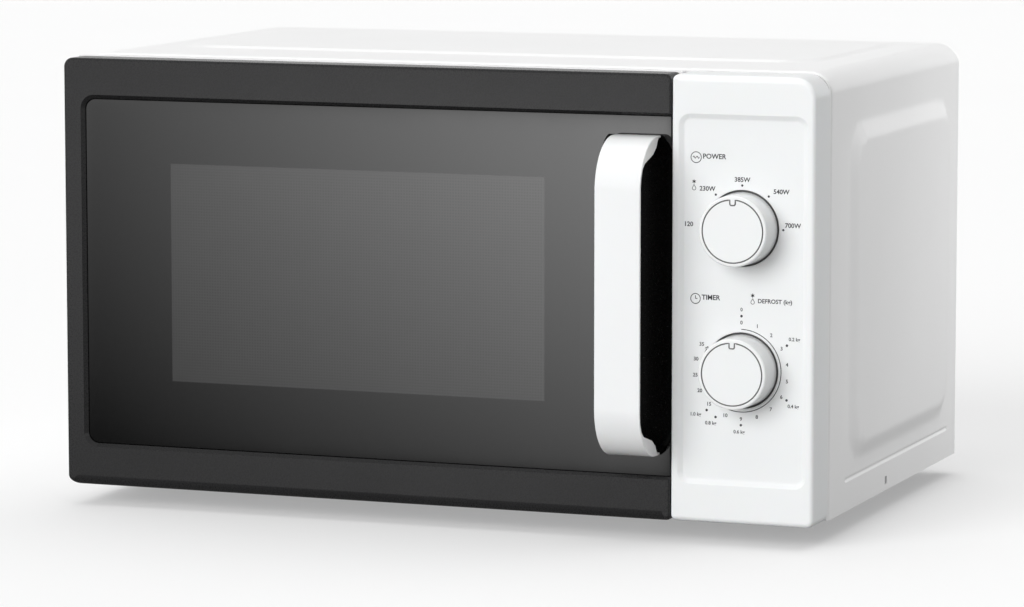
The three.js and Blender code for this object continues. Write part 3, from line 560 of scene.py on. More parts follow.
MATERIALS = {
    "white_paint": white_paint(),
    "cavity_paint": cavity_paint(),
    "white_plastic": white_plastic("white_moulded_plastic", (0.84, 0.84, 0.84), (0.28, 0.4)),
    "black_plastic": black_plastic(),
    "dark_glass": dark_glass(),
    "clear_glass": clear_glass(),
    "mica": mica(),
    "zinc_steel": zinc_steel(),
    "laminations": laminations(),
    "copper": copper(),
    "aluminium": aluminium(),
    "grey_plastic": surface("grey_moulded_plastic", (0.30, 0.31, 0.32), 0.06, (0.4, 0.55), 1200.0).material,
    "red_plastic": surface("red_moulded_plastic", (0.42, 0.035, 0.025), 0.06, (0.35, 0.5), 1200.0).material,
    "board": board(),
    "rubber": rubber(),
}
GLOSS_WHITE = white_plastic("glossy_white_plastic", (0.83, 0.83, 0.83), (0.14, 0.22))
SCREEN = screen_paint()
INK = ink()
# painted shade: dark grey for the dial wells' walls and the pointer grooves, where shade falls
RECESS_PAINTED_SHADE = surface("shaded_white_plastic", (0.16, 0.16, 0.16), 0.02, (0.5, 0.6), 1200.0, 0.01).material


def finish_nodes():
    """Every node that stays gets its slot's material, eased edges and even shading."""
    slots = {row["node"]: row["material_slot"] for row in frame["record"]["subparts"]}
    for name, node in frame["nodes"].items():
        if node.hide_render:
            continue
        node.data.materials.clear()
        node.data.materials.append(SCREEN if name == "door_choke" else MATERIALS[slots[name]])
        smooth(node, 38, ease=0.25, weight=50)


# ---- cabinet ----

SHEET = 1.2
BEND = 12
TOP = CABINET.z1 - 1.5  # the plain top, below its pressed panel
# pressed shapes: u and v are y and z on the sides, x and y on top
SIDE_PRESS = {"u0": 62, "u1": 264, "v0": 25, "v1": 213, "radius": 24, "rise": 3.4, "slope": 12}
TOP_PRESS = {"u0": -193, "u1": 193, "v0": 84, "v1": 262, "radius": 32, "rise": 1.4, "slope": 6}
GROOVE = {"u0": 59, "u1": 266, "v0": 16.3, "v1": 18.7, "radius": 1.0, "rise": -0.6, "slope": 0.7}
SLOT = {"y0": 137, "y1": 141, "z0": 3.5, "z1": 8}
# the front edge, set in behind the control panel
JOGGLE = {"gap": 2.0, "depth": 1.6, "turn": 1.4, "step": 1.0}


def inset_in(shape, u, v):
    """How far a place lies inside a corner-rounded rectangle, negative outside."""
    u0, u1, v0, v1, radius = (shape[key] for key in ("u0", "u1", "v0", "v1", "radius"))
    across = max(u0 + radius - u, u - (u1 - radius), 0)
    along = max(v0 + radius - v, v - (v1 - radius), 0)
    if across > 0 and along > 0:
        return radius - math.hypot(across, along)
    return min(u - u0, u1 - u, v - v0, v1 - v)


def ramp(share):
    """0 to 1 with a straight slope and rounded ends."""
    ease = 0.3
    share = min(max(share, 0.0), 1.0)
    if share < ease:
        height = share * share / (2 * ease)
    elif share > 1 - ease:
        height = 1 - ease - (1 - share) ** 2 / (2 * ease)
    else:
        height = share - ease / 2
    return height / (1 - ease)


def pressed(shape, u, v):
    """How far a pressed shape lifts the sheet at a place."""
    return shape["rise"] * ramp(inset_in(shape, u, v) / shape["slope"])


def cabinet_relief(x, y, z, upward):
    """How far the sheet stands out of its plain surface."""
    return pressed(TOP_PRESS, x, y) if upward else pressed(SIDE_PRESS, y, z) + pressed(GROOVE, y, z)


def slope_zones(shape, axis):
    """Finely stepped zones over a pressed shape's two slopes."""
    low, high = shape[axis + "0"], shape[axis + "1"]
    edge = shape["slope"] + 1
    return [(low, low + edge, 1.5), (high - edge, high, 1.5)]


def stations(low, high, coarse, zones, marks=()):
    """Places from low to high: coarse steps, finer (start, end, step) zones, and exact marks."""
    least = 0.35
    exact = {low, high, *marks}
    places = set(exact)
    for start, end, step in [(low, high, coarse), *zones]:
        count = max(1, math.ceil((end - start) / step))
        places.update(start + (end - start) * i / count for i in range(count + 1))
    kept = []
    for spot in sorted(p for p in places if low <= p <= high):
        if kept and spot - kept[-1] < least:
            if spot in exact and kept[-1] not in exact:
                kept[-1] = spot
            elif spot in exact:
                kept.append(spot)
            continue
        kept.append(spot)
    return kept


def cabinet_section():
    """The bent sheet's outline from the left foot over the top to the right foot, with outward directions."""
    left, right = -PANEL.x1, PANEL.x1
    zones = [*slope_zones(SIDE_PRESS, "v"), (GROOVE["v0"] - 1, GROOVE["v1"] + 1, 0.55)]
    heights = stations(0, TOP - BEND, 8, zones, (SLOT["z0"], SLOT["z1"]))
    half, corner = TOP_PRESS["u1"], TOP_PRESS["radius"]
    corners = [(-half, -half + corner, 4), (half - corner, half, 4)]
    widths = stations(left + BEND, right - BEND, 12, slope_zones(TOP_PRESS, "u") + corners)
    section = [(left, z, -1.0, 0.0) for z in heights]
    steps = 10
    for i in range(1, steps):
        angle = math.pi / 2 * (2 - i / steps)
        away = (math.cos(angle), math.sin(angle))
        section.append((left + BEND + BEND * away[0], TOP - BEND + BEND * away[1], *away))
    section += [(x, TOP, 0.0, 1.0) for x in widths]
    mirror = [(-x, z, -ax, az) for x, z, ax, az in section[: len(heights) + steps - 1]]
    return section + mirror[::-1]


def cabinet_depths(front, back):
    """Places from the front edge to the rear bend, close together wherever the sheet is shaped."""
    turn = front + JOGGLE["depth"]
    zones = [*slope_zones(SIDE_PRESS, "u"), *slope_zones(TOP_PRESS, "v"), (turn, turn + JOGGLE["turn"], 0.3),
             (GROOVE["u0"] - 1, GROOVE["u0"] + 3, 0.6), (GROOVE["u1"] - 3, GROOVE["u1"] + 1, 0.6)]
    return stations(front, back - BEND, 8, zones, (SLOT["y0"], SLOT["y1"]))


def pressed_rows(section, front, depths):
    """Rows of the sheet from the front edge to the rear bend."""
    rows = []
    for y in depths:
        joggle = JOGGLE["step"] * (ramp((y - front - JOGGLE["depth"]) / JOGGLE["turn"]) - 1)
        row = []
        for x, z, ax, az in section:
            out = joggle
            if abs(ax) == 1.0 or az == 1.0:
                out += cabinet_relief(x, y, z, az == 1.0)
            row.append((x + ax * out, y, z + az * out))
        rows.append(row)
    return rows


def rear_rows(section, back):
    """Rows round the rear bend, which is wide on top and tight at the sides, and the lip turned in behind."""
    side_turn, bends = 4, 8
    rows = []
    for i in range(1, bends + 1):
        angle = math.pi / 2 * i / bends
        row = []
        for x, z, ax, az in section:
            radius = side_turn + (BEND - side_turn) * az
            inset = radius * (1 - math.cos(angle))
            row.append((x - ax * inset, back - radius + radius * math.sin(angle), z - az * inset))
        rows.append(row)
    lip_side, lip_top, corner = 13, 15, 3
    half, high = PANEL.x1 - lip_side, TOP - lip_top
    lip = []
    for x, z, ax, az in section:
        if abs(ax) == 1.0:
            lip.append((math.copysign(half, ax), back, z * (high - corner) / (TOP - BEND)))
        elif az == 1.0:
            lip.append((x * (half - corner) / (PANEL.x1 - BEND), back, high))
        else:
            across = math.copysign(half - corner, ax) + corner * ax
            lip.append((across, back, high - corner + corner * az))
    return [*rows, lip]


def cabinet():
    """The wrap: one bent sheet with pressed panels and a small slot low in each side."""
    front, back = CABINET.y0 + JOGGLE["gap"], CABINET.y1
    section = cabinet_section()
    rows = pressed_rows(section, front, cabinet_depths(front, back)) + rear_rows(section, back)
    count = len(section)
    faces = []
    for r in range(len(rows) - 1):
        for c in range(count - 1):
            y_mid = (rows[r][c][1] + rows[r + 1][c][1]) / 2
            z_mid = (section[c][1] + section[c + 1][1]) / 2
            in_slot = SLOT["y0"] < y_mid < SLOT["y1"] and SLOT["z0"] < z_mid < SLOT["z1"]
            if in_slot and abs(section[c][2]) == 1.0:
                continue
            a, b = r * count + c, (r + 1) * count + c
            faces.append((a, a + 1, b + 1, b))
    shell = mesh_piece("cabinet_wrap", [p for row in rows for p in row], faces)
    left_side = shell.data.polygons[0]
    if left_side.normal.x > 0:
        shell.data.flip_normals()
    thick = shell.modifiers.new("thickness", "SOLIDIFY")
    thick.thickness = SHEET * MM
    thick.offset = -1.0
    thick.use_even_offset = True
    settle(shell)
    place(shell, "oven", "white_paint", ["cabinet"], 50)


def screw(x, y, z):
    """A pan-head screw with a cross recess, its head pointing backwards."""
    profile = [(0, 1.6), (1.2, 1.55), (2.4, 1.2), (3.2, 0.5), (3.3, 0), (0, 0)]
    head = turned("screw", profile, "y", (x, y, z), 32)
    long, short = 2.2, 0.45
    arms = [brick("arm", x - wide, x + wide, y + 0.7, y + 3, z - tall, z + tall)
            for wide, tall in ((long, short), (short, long))]
    return carve(head, *arms)


def rear_screws():
    """Screws through the cabinet's rear lip into the back panel."""
    places = [(-213, 40), (-213, 190), (213, 60), (213, 190), (-110, 234), (110, 234)]
    heads = [screw(x, CABINET.y1, z) for x, z in places]
    place(merged("rear_screws", heads), "oven", "zinc_steel")


def feet():
    """Turned rubber feet with a small hollow underneath."""
    for name in ("foot_front_left", "foot_front_right", "foot_rear_left", "foot_rear_right"):
        span = Span(name)
        low, high = span.z0, span.z1
        radius = (span.x1 - span.x0) / 2
        profile = [(0, low + 1.4), (4.5, low + 1.4), (5.2, low + 0.2), (5.8, low), (radius - 3.4, low),
                   *arc(1.2, radius - 3.4, low + 1.2, -90, -8, 4), (radius - 1.6, high - 3.2),
                   (radius - 0.4, high - 2.2), (radius, high - 1.6), (radius, high), (0, high)]
        foot = turned(name + "_moulded", profile, "z", (span.x, span.y, 0), 48)
        place(foot, "oven", "rubber", [name])


# ---- control panel ----

PLATE = {"x0": 143.6, "x1": 216, "z0": 20.7, "z1": 220.4, "radius": 6.5, "slope": 3, "depth": 1.6}
WELL = 20.5  # radius of the round recess that a dial sits in


def rounded_block(name, outline, radius_of, front, back):
    """A block whose front edge has its own radius in each outward direction, given by radius_of(x, z)."""
    steps = 7
    rings = []
    for i in range(steps + 1):
        turn = math.pi / 2 * i / steps
        ring = []
        for x, z, ax, az in outline:
            radius = radius_of(ax, az)
            inset = radius * (1 - math.sin(turn))
            ring.append((x - ax * inset, front + radius * (1 - math.cos(turn)), z - az * inset))
        rings.append(ring)
    rings.append([(x, back, z) for x, z, ax, az in outline])
    return loft(name, rings)


def side_radius(left, right, bottom, top):
    """A rounded edge's radius in each outward direction, for rounded_block."""
    def radius_of(ax, az):
        upright = top if az > 0 else bottom
        across = right if ax > 0 else left
        return upright * az * az + across * ax * ax
    return radius_of


def sunken_plate():
    """Cutter for the sloped recess that carries the printing."""
    outline = rectangle(PLATE["x0"], PLATE["x1"], PLATE["z0"], PLATE["z1"], PLATE["radius"], 8)
    slope, floor = PLATE["slope"], PLATE["depth"]
    levels = [(-2, -6), (-0.3, -0.03), (0.4, 0.1), (slope - 0.7, floor - 0.22), (slope, floor - 0.05),
              (slope + 0.7, floor)]
    return stack("sunken", outline, "front", levels)


def dial_wells():
    """Cutters for the recess and the shaft's bore at each dial."""
    floor = PLATE["depth"]
    rim = [(0, -2), (WELL + 1.4, -2), (WELL + 1.0, floor - 0.1), (WELL + 0.3, floor + 0.15),
           (WELL, floor + 0.6), (WELL, 3.6), (WELL - 0.4, 4), (0, 4)]
    wells = []
    for span in (POWER, TIMER):
        wells.append(turned("well", rim, "y", (span.x, 0, span.z), 96))
        wells.append(rod("bore", 4.2, 0, 9, "y", (span.x, 0, span.z), 48))
    return wells


def control_panel():
    """A hollow moulding with a rounded front edge."""
    outline = rectangle(PANEL.x0, PANEL.x1, PANEL.z0, PANEL.z1, [3.2, 4, 12, 3.2], 10)
    block = rounded_block("panel", outline, side_radius(1.6, 2.4, 3, 4), PANEL.y0, PANEL.y1)
    wall = 2.4
    inner = rectangle(PANEL.x0 + wall, PANEL.x1 - wall, PANEL.z0 + wall, PANEL.z1 - wall, 4)
    carve(block, prism("hollow", inner, "front", 5, PANEL.y1 + 4), sunken_plate())
    add(block, *[rod("boss", WELL + 3, 2.6, 7, "y", (span.x, 0, span.z), 64) for span in (POWER, TIMER)])
    carve(block, *dial_wells())
    block.name = "control_panel_moulded"
    place(block, "oven", "white_plastic", ["control_panel"], 30)
    # the walls of each dial's well get painted shade, a dark ring round the dial's base
    for span in (POWER, TIMER):
        shade_recess(block, span, WELL + 0.1, PLATE["depth"] + 0.3, 4.1)


def shade_recess(piece, span, radius, y0, y1):
    """Paints shade on the faces of a round recess, within a radius of a dial's axis: they get the dark shaded
    plastic.
    """
    piece.data.materials.append(RECESS_PAINTED_SHADE)
    centre = at(span.x, 0, span.z)
    for face in piece.data.polygons:
        spot = (face.center - centre) / MM
        if math.hypot(spot.x, spot.z) < radius and y0 < spot.y < y1:
            face.material_index = 1


def groove_path(radius, notch_half, notch_depth):
    """The fine line on a dial's face: a circle that dips inwards in a small U at the top."""
    steps, corner = 96, 0.9
    gap = math.asin(notch_half / radius)
    points = []
    for i in range(steps + 1):
        angle = math.pi / 2 + gap + (2 * math.pi - 2 * gap) * i / steps
        points.append((radius * math.cos(angle), radius * math.sin(angle)))
    top = radius * math.cos(gap)
    right = arc(corner, notch_half - corner, top - notch_depth + corner, 0, -90, 4)
    left = [(-u, v) for u, v in right[::-1]]
    return points + right + left


def both_sides(path, half, closed):
    """A path's two edges, half a width to either side of it."""
    count = len(path)
    outer, inner = [], []
    for i, (u, v) in enumerate(path):
        before = path[i - 1] if closed else path[max(i - 1, 0)]
        after = path[(i + 1) % count] if closed else path[min(i + 1, count - 1)]
        du, dv = after[0] - before[0], after[1] - before[1]
        length = math.hypot(du, dv)
        across, up = dv / length * half, -du / length * half
        outer.append((u + across, v + up))
        inner.append((u - across, v - up))
    return outer, inner


def ribbon(name, path, half, y0, y1, centre):
    """A closed band along a path seen from the front, from y0 to y1."""
    outer, inner = both_sides(path, half, True)
    count = len(path)
    points, faces = [], []
    for side, y in ((outer, y0), (inner, y0), (inner, y1), (outer, y1)):
        points += [(centre[0] + u, y, centre[1] + v) for u, v in side]
    for ring in range(4):
        a, b = ring * count, (ring + 1) % 4 * count
        for i in range(count):
            j = (i + 1) % count
            faces.append((a + i, a + j, b + j, b + i))
    return mesh_piece(name, points, faces)


def dial(node, body):
    """A dial: slightly tapered skirt, rounded rim, flat face with its fine pointer line pressed in."""
    span = Span(node)
    base = (span.x1 - span.x0) / 2
    face, back = span.y0, span.y1
    rim, taper, bore = 1.0, 0.5, 3.35
    front_radius = base - taper
    turns = [math.pi / 16 * i for i in range(9)]
    rounded = [(front_radius - rim + rim * math.sin(t), face + rim * (1 - math.cos(t))) for t in turns]
    profile = [(0, face), *rounded, (base, back - 0.6), (base - 0.3, back), (base - 2.2, back),
               (base - 2.8, face + 4), (6.2, face + 4), (6, back), (bore, back), (bore, face + 6),
               (0, face + 6)]
    knob = turned("dial", profile, "y", (span.x, 0, span.z), 120)
    groove = groove_path(front_radius - 2.2, 1.5, 2.9)
    carve(knob, ribbon("groove", groove, 0.36, face - 1, face + 0.6, (span.x, span.z)))
    knob.name = node + "_moulded"
    place(knob, body, "white_plastic", [node], 30, GLOSS_WHITE)
    # the pressed-in pointer line gets painted shade: darker plastic in its groove
    shade_recess(knob, span, front_radius - 1.2, face + 0.05, face + 1)


# ---- printing on the panel ----


def lettering(text, x, z, height, align="CENTER"):
    """Plain sans lettering, as thin as ink, standing on the panel's plate; z is the middle of the letters."""
    capital_share = 0.72
    curve = bpy.data.curves.new("lettering", "FONT")
    curve.body = text
    curve.size = height / capital_share
    curve.offset = height * 0.03
    curve.align_x = align
    curve.resolution_u = 3
    letters = in_scene("lettering", curve)
    mesh = evaluated_mesh(letters)
    bpy.data.objects.remove(letters)
    places = [(x + v.co.x, z + v.co.y - height / 2) for v in mesh.vertices]
    faces = [tuple(p.vertices) for p in mesh.polygons]
    bpy.data.meshes.remove(mesh)
    return inked(places, faces)


PRINT_Y = PLATE["depth"]
INK_DEPTH = 0.03


def inked(places, faces):
    """A flat print given a thin closed body on the plate."""
    points = [(u, PRINT_Y - INK_DEPTH, v) for u, v in places]
    piece = mesh_piece("print", points, faces)
    if piece.data.polygons and piece.data.polygons[0].normal.y > 0:
        piece.data.flip_normals()
    thick = piece.modifiers.new("thickness", "SOLIDIFY")
    thick.thickness = INK_DEPTH * MM * 1.5
    thick.offset = -1.0
    return settle(piece)


def dot(x, z, radius):
    return inked([(x + u, z + v) for u, v in arc(radius, 0, 0, 0, 345, 23)], [tuple(range(24))])


def line(points, width):
    """A printed line of even width along points."""
    left, right = both_sides(points, width / 2, False)
    count = len(points)
    return inked(left + right, [(i, i + 1, count + i + 1, count + i) for i in range(count - 1)])


def circle_line(x, z, radius, width):
    return line([(x + u, z + v) for u, v in arc(radius, 0, 0, 0, 360, 40)], width)


def polar(radius, degrees):
    """A place round a dial, degrees clockwise from the top."""
    return radius * math.sin(math.radians(degrees)), radius * math.cos(math.radians(degrees))


def defrost_icon(x, z):
    """A flake above a drop."""
    top, low = z + 1.9, z - 1.7
    flake = [line([(x + u * 1.1, top + v * 1.1), (x - u * 1.1, top - v * 1.1)], 0.32)
             for u, v in (polar(1, a) for a in (0, 60, 120))]
    tip = (x, z + 0.3)
    rounded = [(x + u, low + v) for u, v in arc(1.0, 0, 0, 125, 415, 20)]
    return [*flake, line([*rounded, tip], 0.3), line([tip, rounded[0]], 0.3), dot(x, top, 0.6)]


# round each dial: degrees clockwise from the top, the text, and its middle from the dial's axis
WATTS = [(-86, "120", -30.0, 1.5), (-40, "230W", -19.5, 20.8), (0, "385W", 0.0, 26.2),
         (40, "540W", 21.8, 20.4), (90, "700W", 28.3, 2.6)]
WEIGHTS = [(0, "0", 0, 33.0), (60, "0.2 kg", 29.6, 18.2), (120, "0.4 kg", 29.2, -17.8),
           (180, "0.6 kg", -1.0, -33.0), (209, "0.8 kg", -17.0, -29.0), (221, "1.0 kg", -25.6, -24.6)]


def marks_round(span, radius, dot_radius, height, labels):
    """A dot and a text for each label of a dial."""
    marks = []
    for degrees, text, across, up in labels:
        u, v = polar(radius, degrees)
        marks.append(dot(span.x + u, span.z + v, dot_radius))
        marks.append(lettering(text, span.x + across, span.z + up, height))
    return marks


def power_marks():
    x, z = POWER.x, POWER.z
    u, v = PLATE["x0"] + 9.5, z + 37.3
    wave = [(u - 1.8 + 3.6 * i / 16, v + 0.55 * math.sin(2 * math.pi * i / 8)) for i in range(17)]
    marks = [circle_line(u, v, 2.9, 0.42), line(wave, 0.4),
             lettering("POWER", u + 3.7, z + 38.1, 2.7, "LEFT")]
    marks += marks_round(POWER, 23, 0.62, 2.5, WATTS)
    return marks + defrost_icon(x - 27.0, z + 22.4)


def timer_marks():
    x, z = TIMER.x, TIMER.z
    u, v = PLATE["x0"] + 9.5, z + 37.8
    marks = [circle_line(u, v, 2.7, 0.42),
             line([(u, v), (u, v + 1.7)], 0.4), line([(u, v), (u + 1.1, v)], 0.4),
             lettering("TIMER", u + 3.5, z + 38.8, 2.7, "LEFT"),
             lettering("DEFROST (kg)", x + 9.0, z + 38.0, 2.3, "LEFT")]
    marks += defrost_icon(x + 6.2, z + 38.8)
    minutes = [(str(i), 20 * i) for i in range(11)]
    minutes += [(str(15 + 5 * i), 224 + 19.3 * i) for i in range(5)]
    for text, degrees in minutes:
        u, v = polar(26, degrees)
        marks.append(lettering(text, x + u, z + v, 2.0))
    ring = 22.3
    marks.append(line([(x + u, z + v) for u, v in (polar(ring, 300 * i / 90) for i in range(91))], 0.45))
    tip_u, tip_v = polar(ring, 303)
    tip = (x + tip_u, z + tip_v)
    for bearing in (240, 180):
        u, v = polar(2.0, bearing)
        marks.append(line([tip, (tip[0] + u, tip[1] + v)], 0.42))
    return marks + marks_round(TIMER, 29.4, 0.7, 1.9, WEIGHTS)


def panel_print():
    """All the printing as one piece of ink."""
    piece = merged("panel_print", power_marks() + timer_marks())
    piece.data.materials.clear()
    piece.data.materials.append(INK)
    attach(piece, "oven")


# ---- door ----

PIVOT_INSET = 8.5
VIEW_HOLE = (-155.5, 67, 60.7, 183.5)  # x from and to, z from and to
RIM = 0.3  # between the glass and its seat


def scoop_outline(grow):
    """Wide corners towards the panel, cut straight across at the handle's two ends."""
    over = 4
    wide, tight = SCOOP["corner"] + over + grow, SCOOP["corner"] + grow
    low, high = GRIP.z0 + 0.2 - grow, GRIP.z1 - 0.2 + grow
    outline = rectangle(SCOOP["x0"] - grow, SCOOP["x1"] + grow, low - over, high + over,
                        [tight, wide, wide, tight], 16)
    return [(x, min(max(z, low), high), ax, az) for x, z, ax, az in outline]


def scoop_cutter():
    """The finger scoop: a shallow bowl with rounded walls, open towards the control panel."""
    slope, start = SCOOP["slope"], GLASS.y1
    depth = SCOOP["floor"] - start
    turns = [math.pi / 16 * i for i in range(1, 9)]
    levels = [(0, -6), (0, start)]
    levels += [(slope * (1 - math.cos(t)), start + depth * math.sin(t)) for t in turns]
    return stack("scoop", scoop_outline(0), "front", levels)


def hinge_rounding():
    """Bounds the door so that its rear left edge is rounded about the pivot."""
    plan = [(DOOR.x1 + 5, -5), (DOOR.x1 + 5, DOOR.y1)]
    plan += arc(PIVOT_INSET, DOOR.x0 + PIVOT_INSET, DOOR.y1 - PIVOT_INSET, 90, 180, 12)
    plan += [(DOOR.x0, -5)]
    return prism("rounding", plan, "above", -3, PANEL.z1 + 3)


def door_hollow():
    """Cutter for the door's inside, leaving a wall round the scoop."""
    play = 0.3
    hollow = brick("hollow", COVER.x0 - play, COVER.x1 + play, 7.5, DOOR.y1 + 1,
                   COVER.z0 - play, COVER.z1 + play)
    wall = prism("wall", scoop_outline(3), "front", GLASS.y1 + 0.3, 11.9)
    boolean(wall, [brick("limit", 0, DOOR.x1, 0, 20, 0, PANEL.z1)], "INTERSECT")
    return carve(hollow, wall)


def glass_seat():
    """Cutter for the recess that holds the glass, with a sloped edge round it."""
    mouth = rectangle(GLASS.x0 - RIM, DOOR.x1 + 8, GLASS.z0 - RIM, GLASS.z1 + RIM, [6, 0, 0, 6], 8)
    slope = 2.0
    levels = [(-2 * slope, -GLASS.y0), (-slope, 0), (0, GLASS.y0), (0, GLASS.y1 + 0.3)]
    return stack("seat", mouth, "front", levels)


def grip_pads():
    """Two pads in the scoop that the handle's ends stand on."""
    pads = []
    for z in (SCOOP["z0"] - 1, SCOOP["z1"] - 4):
        pad = brick("pad", GRIP.x0 - 2, GRIP.x1 + 2, GLASS.y0, 11.9, z, z + 5)
        pads.append(boolean(pad, [prism("bound", scoop_outline(0.1), "front", 0, 12)], "INTERSECT"))
    return pads


def door_frame():
    """The door's moulding: hollow, with a seat for the glass, a view hole and the finger scoop."""
    outline = rectangle(DOOR.x0, DOOR.x1, DOOR.z0, DOOR.z1, [5.5, 3.6, 3.6, 5], 10)
    block = rounded_block("door", outline, side_radius(1.2, 1.0, 6, 1.6), DOOR.y0, DOOR.y1)
    boolean(block, [hinge_rounding()], "INTERSECT")
    view = prism("view", rectangle(*VIEW_HOLE, 2, 3), "front", 0, 10)
    carve(block, door_hollow(), glass_seat(), view, scoop_cutter())
    carve(block, *hinge_pockets())
    add(block, *grip_pads())
    block.name = "door_frame_moulded"
    place(block, "door", "black_plastic", ["door_frame"], 32)


def hinge_pockets():
    """Cutters in the door's corners: room for the hinge tongues and pins, with some play."""
    tongue, thickness, pin_radius, reach, play = 5, 2, 2.6, 9, 0.6
    low, high = tongue - play, tongue + thickness + play
    pin_end = high + reach + 1
    pivot = (DOOR.x0 + PIVOT_INSET, DOOR.y1 - PIVOT_INSET, 0)
    tools = []
    for slot, pin in (((low, high), (low, pin_end)),
                      ((PANEL.z1 - high, PANEL.z1 - low), (PANEL.z1 - pin_end, PANEL.z1 - low))):
        tools.append(brick("slot", DOOR.x0 - 1, COVER.x0, 2.7, DOOR.y1 + 1, *slot))
        tools.append(rod("pin", pin_radius, *pin, "z", pivot, 32))
    return tools


def door_glass():
    """The front pane, bitten out round the scoop; the bite's edge takes the frame's black, painted dead black
    there as the scoop's painted shadow.
    """
    outline = rectangle(GLASS.x0, GLASS.x1, GLASS.z0, GLASS.z1, [6, 0, 0, 6], 8)
    pane = stack("pane", outline, "front", [(0.35, GLASS.y0), (0, GLASS.y0 + 0.35), (0, GLASS.y1)])
    carve(pane, prism("bite", scoop_outline(0.1), "front", GLASS.y0 - 1, GLASS.y1 + 1))
    pane.name = "door_glass_pane"
    place(pane, "door", "dark_glass", ["door_glass"], 30)
    # the bite's edge faces get the black plastic, whose scoop mask paints them dead black as shadow
    pane.data.materials.append(MATERIALS["black_plastic"])
    for face in pane.data.polygons:
        if abs(face.normal.y) < 0.5 and face.center.x > (SCOOP["x0"] - 1) * MM:
            face.material_index = 1


def handle():
    """An arched strip, thin along the grip, its ends thickening where they curve back to the door."""
    bend, grip, foot = 28, 1.6, 1.4
    front, seat = GRIP.y0, GRIP.y1
    z0, z1 = GRIP.z0, GRIP.z1
    outside = [(seat, z0), *arc(bend, front + bend, z0 + bend, -90, -180, 18),
               *arc(bend, front + bend, z1 - bend, 180, 90, 18), (seat, z1)]
    inside_top = [(seat, -foot), (-1.6, -foot), (-3, -2.7), (-5.1, -6), (-10.5, -9.6), (-18.4, -11.8),
                  (-24, -13.4), (-27.4, -16), (-29.6, -20), (front + grip, -25)]
    inner = [(u, z1 + v) for u, v in inside_top] + [(u, z0 - v) for u, v in inside_top[::-1]]
    bar = prism("handle", outside + inner, "side", GRIP.x0, GRIP.x1)
    bevel(bar, 0.6, 3, 50)
    settle(bar)
    bar.name = "door_handle_moulded"
    place(bar, "door", "white_plastic", ["door_handle"], 40, GLOSS_WHITE)


# ---- turntable ----


def glass_tray():
    """A pressed glass plate with three lugs underneath, which the coupler turns."""
    z = TRAY.z1 - 15
    radius = (TRAY.x1 - TRAY.x0) / 2
    rim = arc(0.9, radius - 0.9, z + 14.1, -60, 150, 6)
    underside = [(0, z), (60, z), (60.8, z + 0.5), (62.2, z + 0.5), (63, z), (99, z), (104, z + 0.4),
                 (108.5, z + 1.7), (113, z + 4.6), (118, z + 9)]
    upper = [(114, z + 9.6), (109.5, z + 6.2), (105, z + 4.4), (100, z + 4), (40, z + 4), (0, z + 4)]
    plate = turned("plate", underside + rim + upper, "z", (TRAY.x, TRAY.y, 0), 120)
    lug = [(0, TRAY.z0), (2.8, TRAY.z0), (3.4, TRAY.z0 + 0.7), (3.5, z + 0.5), (0, z + 0.5)]
    lugs = []
    for i in range(3):
        angle = math.radians(60 + 120 * i)
        spot = (TRAY.x + 15 * math.cos(angle), TRAY.y + 15 * math.sin(angle), 0)
        lugs.append(turned("lug", lug, "z", spot, 24))
    add(plate, *lugs)
    plate.name = "glass_tray_pressed"
    place(plate, "tray", "clear_glass", ["glass_tray"], 40)


# ---- studio ----

CAMERA_PLACE = (0.9399, -2.4824, 0.4345)
CAMERA_TURN = (83.0, 0.0, 20.77)
LENS = 163.95
SIDE_WATTS = 0.7


def camera():
    data = bpy.data.cameras.new("camera")
    data.lens = LENS
    data.sensor_width = 36.0
    data.clip_end = 100.0
    made = in_scene("camera", data)
    made.location = CAMERA_PLACE
    made.rotation_euler = [math.radians(a) for a in CAMERA_TURN]
    bpy.context.scene.camera = made


def lamp(name, kind, towards):
    """A light that shines back along towards, which points from the object to the light."""
    made = in_scene(name, bpy.data.lights.new(name, kind))
    made.rotation_mode = "QUATERNION"
    made.rotation_quaternion = Vector(towards).to_track_quat("Z", "Y")
    made.visible_glossy = False
    return made


def sun(name, towards, strength, spread):
    """A distant soft light."""
    light = lamp(name, "SUN", towards).data
    light.energy = strength * math.pi
    light.angle = math.radians(spread)


def side_panel():
    """A small soft light low at the right, so the cabinet's side darkens forwards and downwards."""
    spot = Vector((cad_high.x + 0.32, 0.3, 0.2))
    aimed_at = Vector((cad_high.x, 0.05, 0.14))
    made = lamp("side_panel", "AREA", spot - aimed_at)
    made.location = spot
    made.visible_camera = False
    made.data.shape = "RECTANGLE"
    made.data.size, made.data.size_y = 0.3, 0.2
    made.data.energy = SIDE_WATTS
    spared = bpy.data.collections.new("not_lit_from_the_side")
    spared.objects.link(bpy.data.objects["floor"])
    made.light_linking.receiver_collection = spared
    spared.collection_objects[0].light_linking.link_state = "EXCLUDE"


def world():
    """Even white light, brighter at the horizon, dim below it, and plain white where the camera sees it."""
    studio_world = bpy.data.worlds.new("studio")
    n = Nodes(studio_world, "Generated")
    height = n.along("Z")
    above = n.between(height, 0.85, 0.38, 0.1, 0.35, "SMOOTHSTEP")
    below = n.between(height, 0.12, 1.0, -0.06, 0.02, "SMOOTHSTEP")
    seen = n.node("ShaderNodeLightPath").outputs["Is Camera Ray"]
    level = n.node("ShaderNodeMix", {0: seen, 2: n.math("MULTIPLY", above, below), 3: 1.0}).outputs[0]
    sky = n.tree.nodes["Background"]
    sky.inputs["Color"].default_value = (1, 1, 1, 1)
    n.tree.links.new(level, sky.inputs["Strength"])
    bpy.context.scene.world = studio_world


def flat(name, half_u, half_v, upright):
    """One rectangular face round the origin, in metres, lying or standing up facing the front."""
    corners = [(-half_u, -half_v), (half_u, -half_v), (half_u, half_v), (-half_u, half_v)]
    mesh = bpy.data.meshes.new(name)
    mesh.from_pydata([(u, 0, v) if upright else (u, v, 0) for u, v in corners], [], [(0, 1, 2, 3)])
    return in_scene(name, mesh)


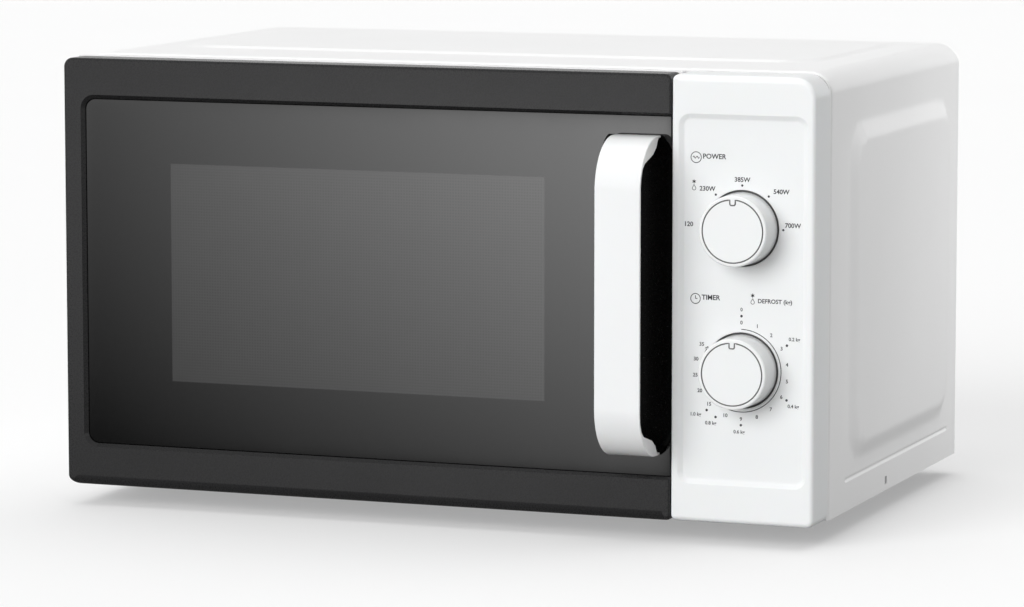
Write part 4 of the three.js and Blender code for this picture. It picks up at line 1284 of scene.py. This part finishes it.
def floor():
    """A pale floor that gives off a little light to the camera only, which keeps its shadow light."""
    made = flat("floor", 40.0, 40.0, False)
    made.location.z = cad_low.z - 0.2 * MM
    made.visible_glossy = False
    n = surface("pale_floor", (0.58, 0.58, 0.58), 0.004, (0.75, 0.85), 60.0, 0.05, 1.5)
    seen = n.node("ShaderNodeLightPath").outputs["Is Camera Ray"]
    pale = n.shader.inputs["Base Color"].links[0].from_socket
    n.paint(seen, (0.42, 0.42, 0.42, 1), pale)
    n.link(n.math("MULTIPLY", seen, 0.32), "Emission Strength")
    made.data.materials.append(n.set(Specular_IOR_Level=0.0, Emission_Color=(1, 1, 1, 1)))


def card(name, centre, half_x, half_z, level_of):
    """A lit card facing the object, seen only in glossy surfaces; level_of gets two shares, across and up."""
    made = flat(name, half_x, half_z, True)
    made.location = centre
    for ray in ("camera", "diffuse", "transmission", "shadow"):
        setattr(made, "visible_" + ray, False)
    n = Finish(name + "_light")
    n.tree.nodes.remove(n.shader)
    across = n.between(n.along("X"), 0.0, 1.0, -half_x, half_x)
    up = n.between(n.along("Z"), 0.0, 1.0, -half_z, half_z)
    glow = n.node("ShaderNodeEmission", {"Color": (1, 1, 1, 1), "Strength": level_of(n, across, up)})
    n.tree.links.new(glow.outputs[0], n.output.inputs["Surface"])
    made.data.materials.append(n.material)


def glass_light(n, across, up):
    """Dark at the lower left, bright at the upper right, as the door's glass shows it."""
    corner = n.math("MULTIPLY", n.math("MULTIPLY", across, up), 2.2)
    level = n.math("ADD", n.math("MULTIPLY", across, 1.5), n.math("MULTIPLY", up, 1.15))
    return n.math("ADD", n.math("ADD", level, corner), 0.02)


def frame_light(n, across, up):
    """Brighter towards the top; across isn't needed."""
    return n.math("ADD", n.math("MULTIPLY", up, 1.75), -0.05)


def cards():
    """Cards in the camera's own plane, where the flat front of the door mirrors them."""
    eye = Vector(CAMERA_PLACE)
    low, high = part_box("door_glass")
    centre = low + high - eye
    card("glass_card", (centre.x, eye.y, centre.z), high.x - low.x, high.z - low.z, glass_light)
    low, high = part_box("door_frame")
    centre = low + high - eye
    card("frame_card", (centre.x, eye.y - 0.05, centre.z), 2 * (high.x - low.x), high.z - low.z, frame_light)


def studio():
    bpy.context.scene.view_settings.view_transform = "Standard"
    world()
    floor()
    cards()
    sun("top_light", (-0.05, 0.15, 0.99), 0.48, 70)
    sun("front_light", (-0.35, -0.86, 0.37), 0.68, 40)
    side_panel()


# ---- putting it together ----

cabinet()
rear_screws()
feet()
control_panel()
dial("power_knob", "power_dial")
dial("timer_knob", "timer_dial")
panel_print()
door_frame()
door_glass()
handle()
glass_tray()
finish_nodes()
studio()
camera()
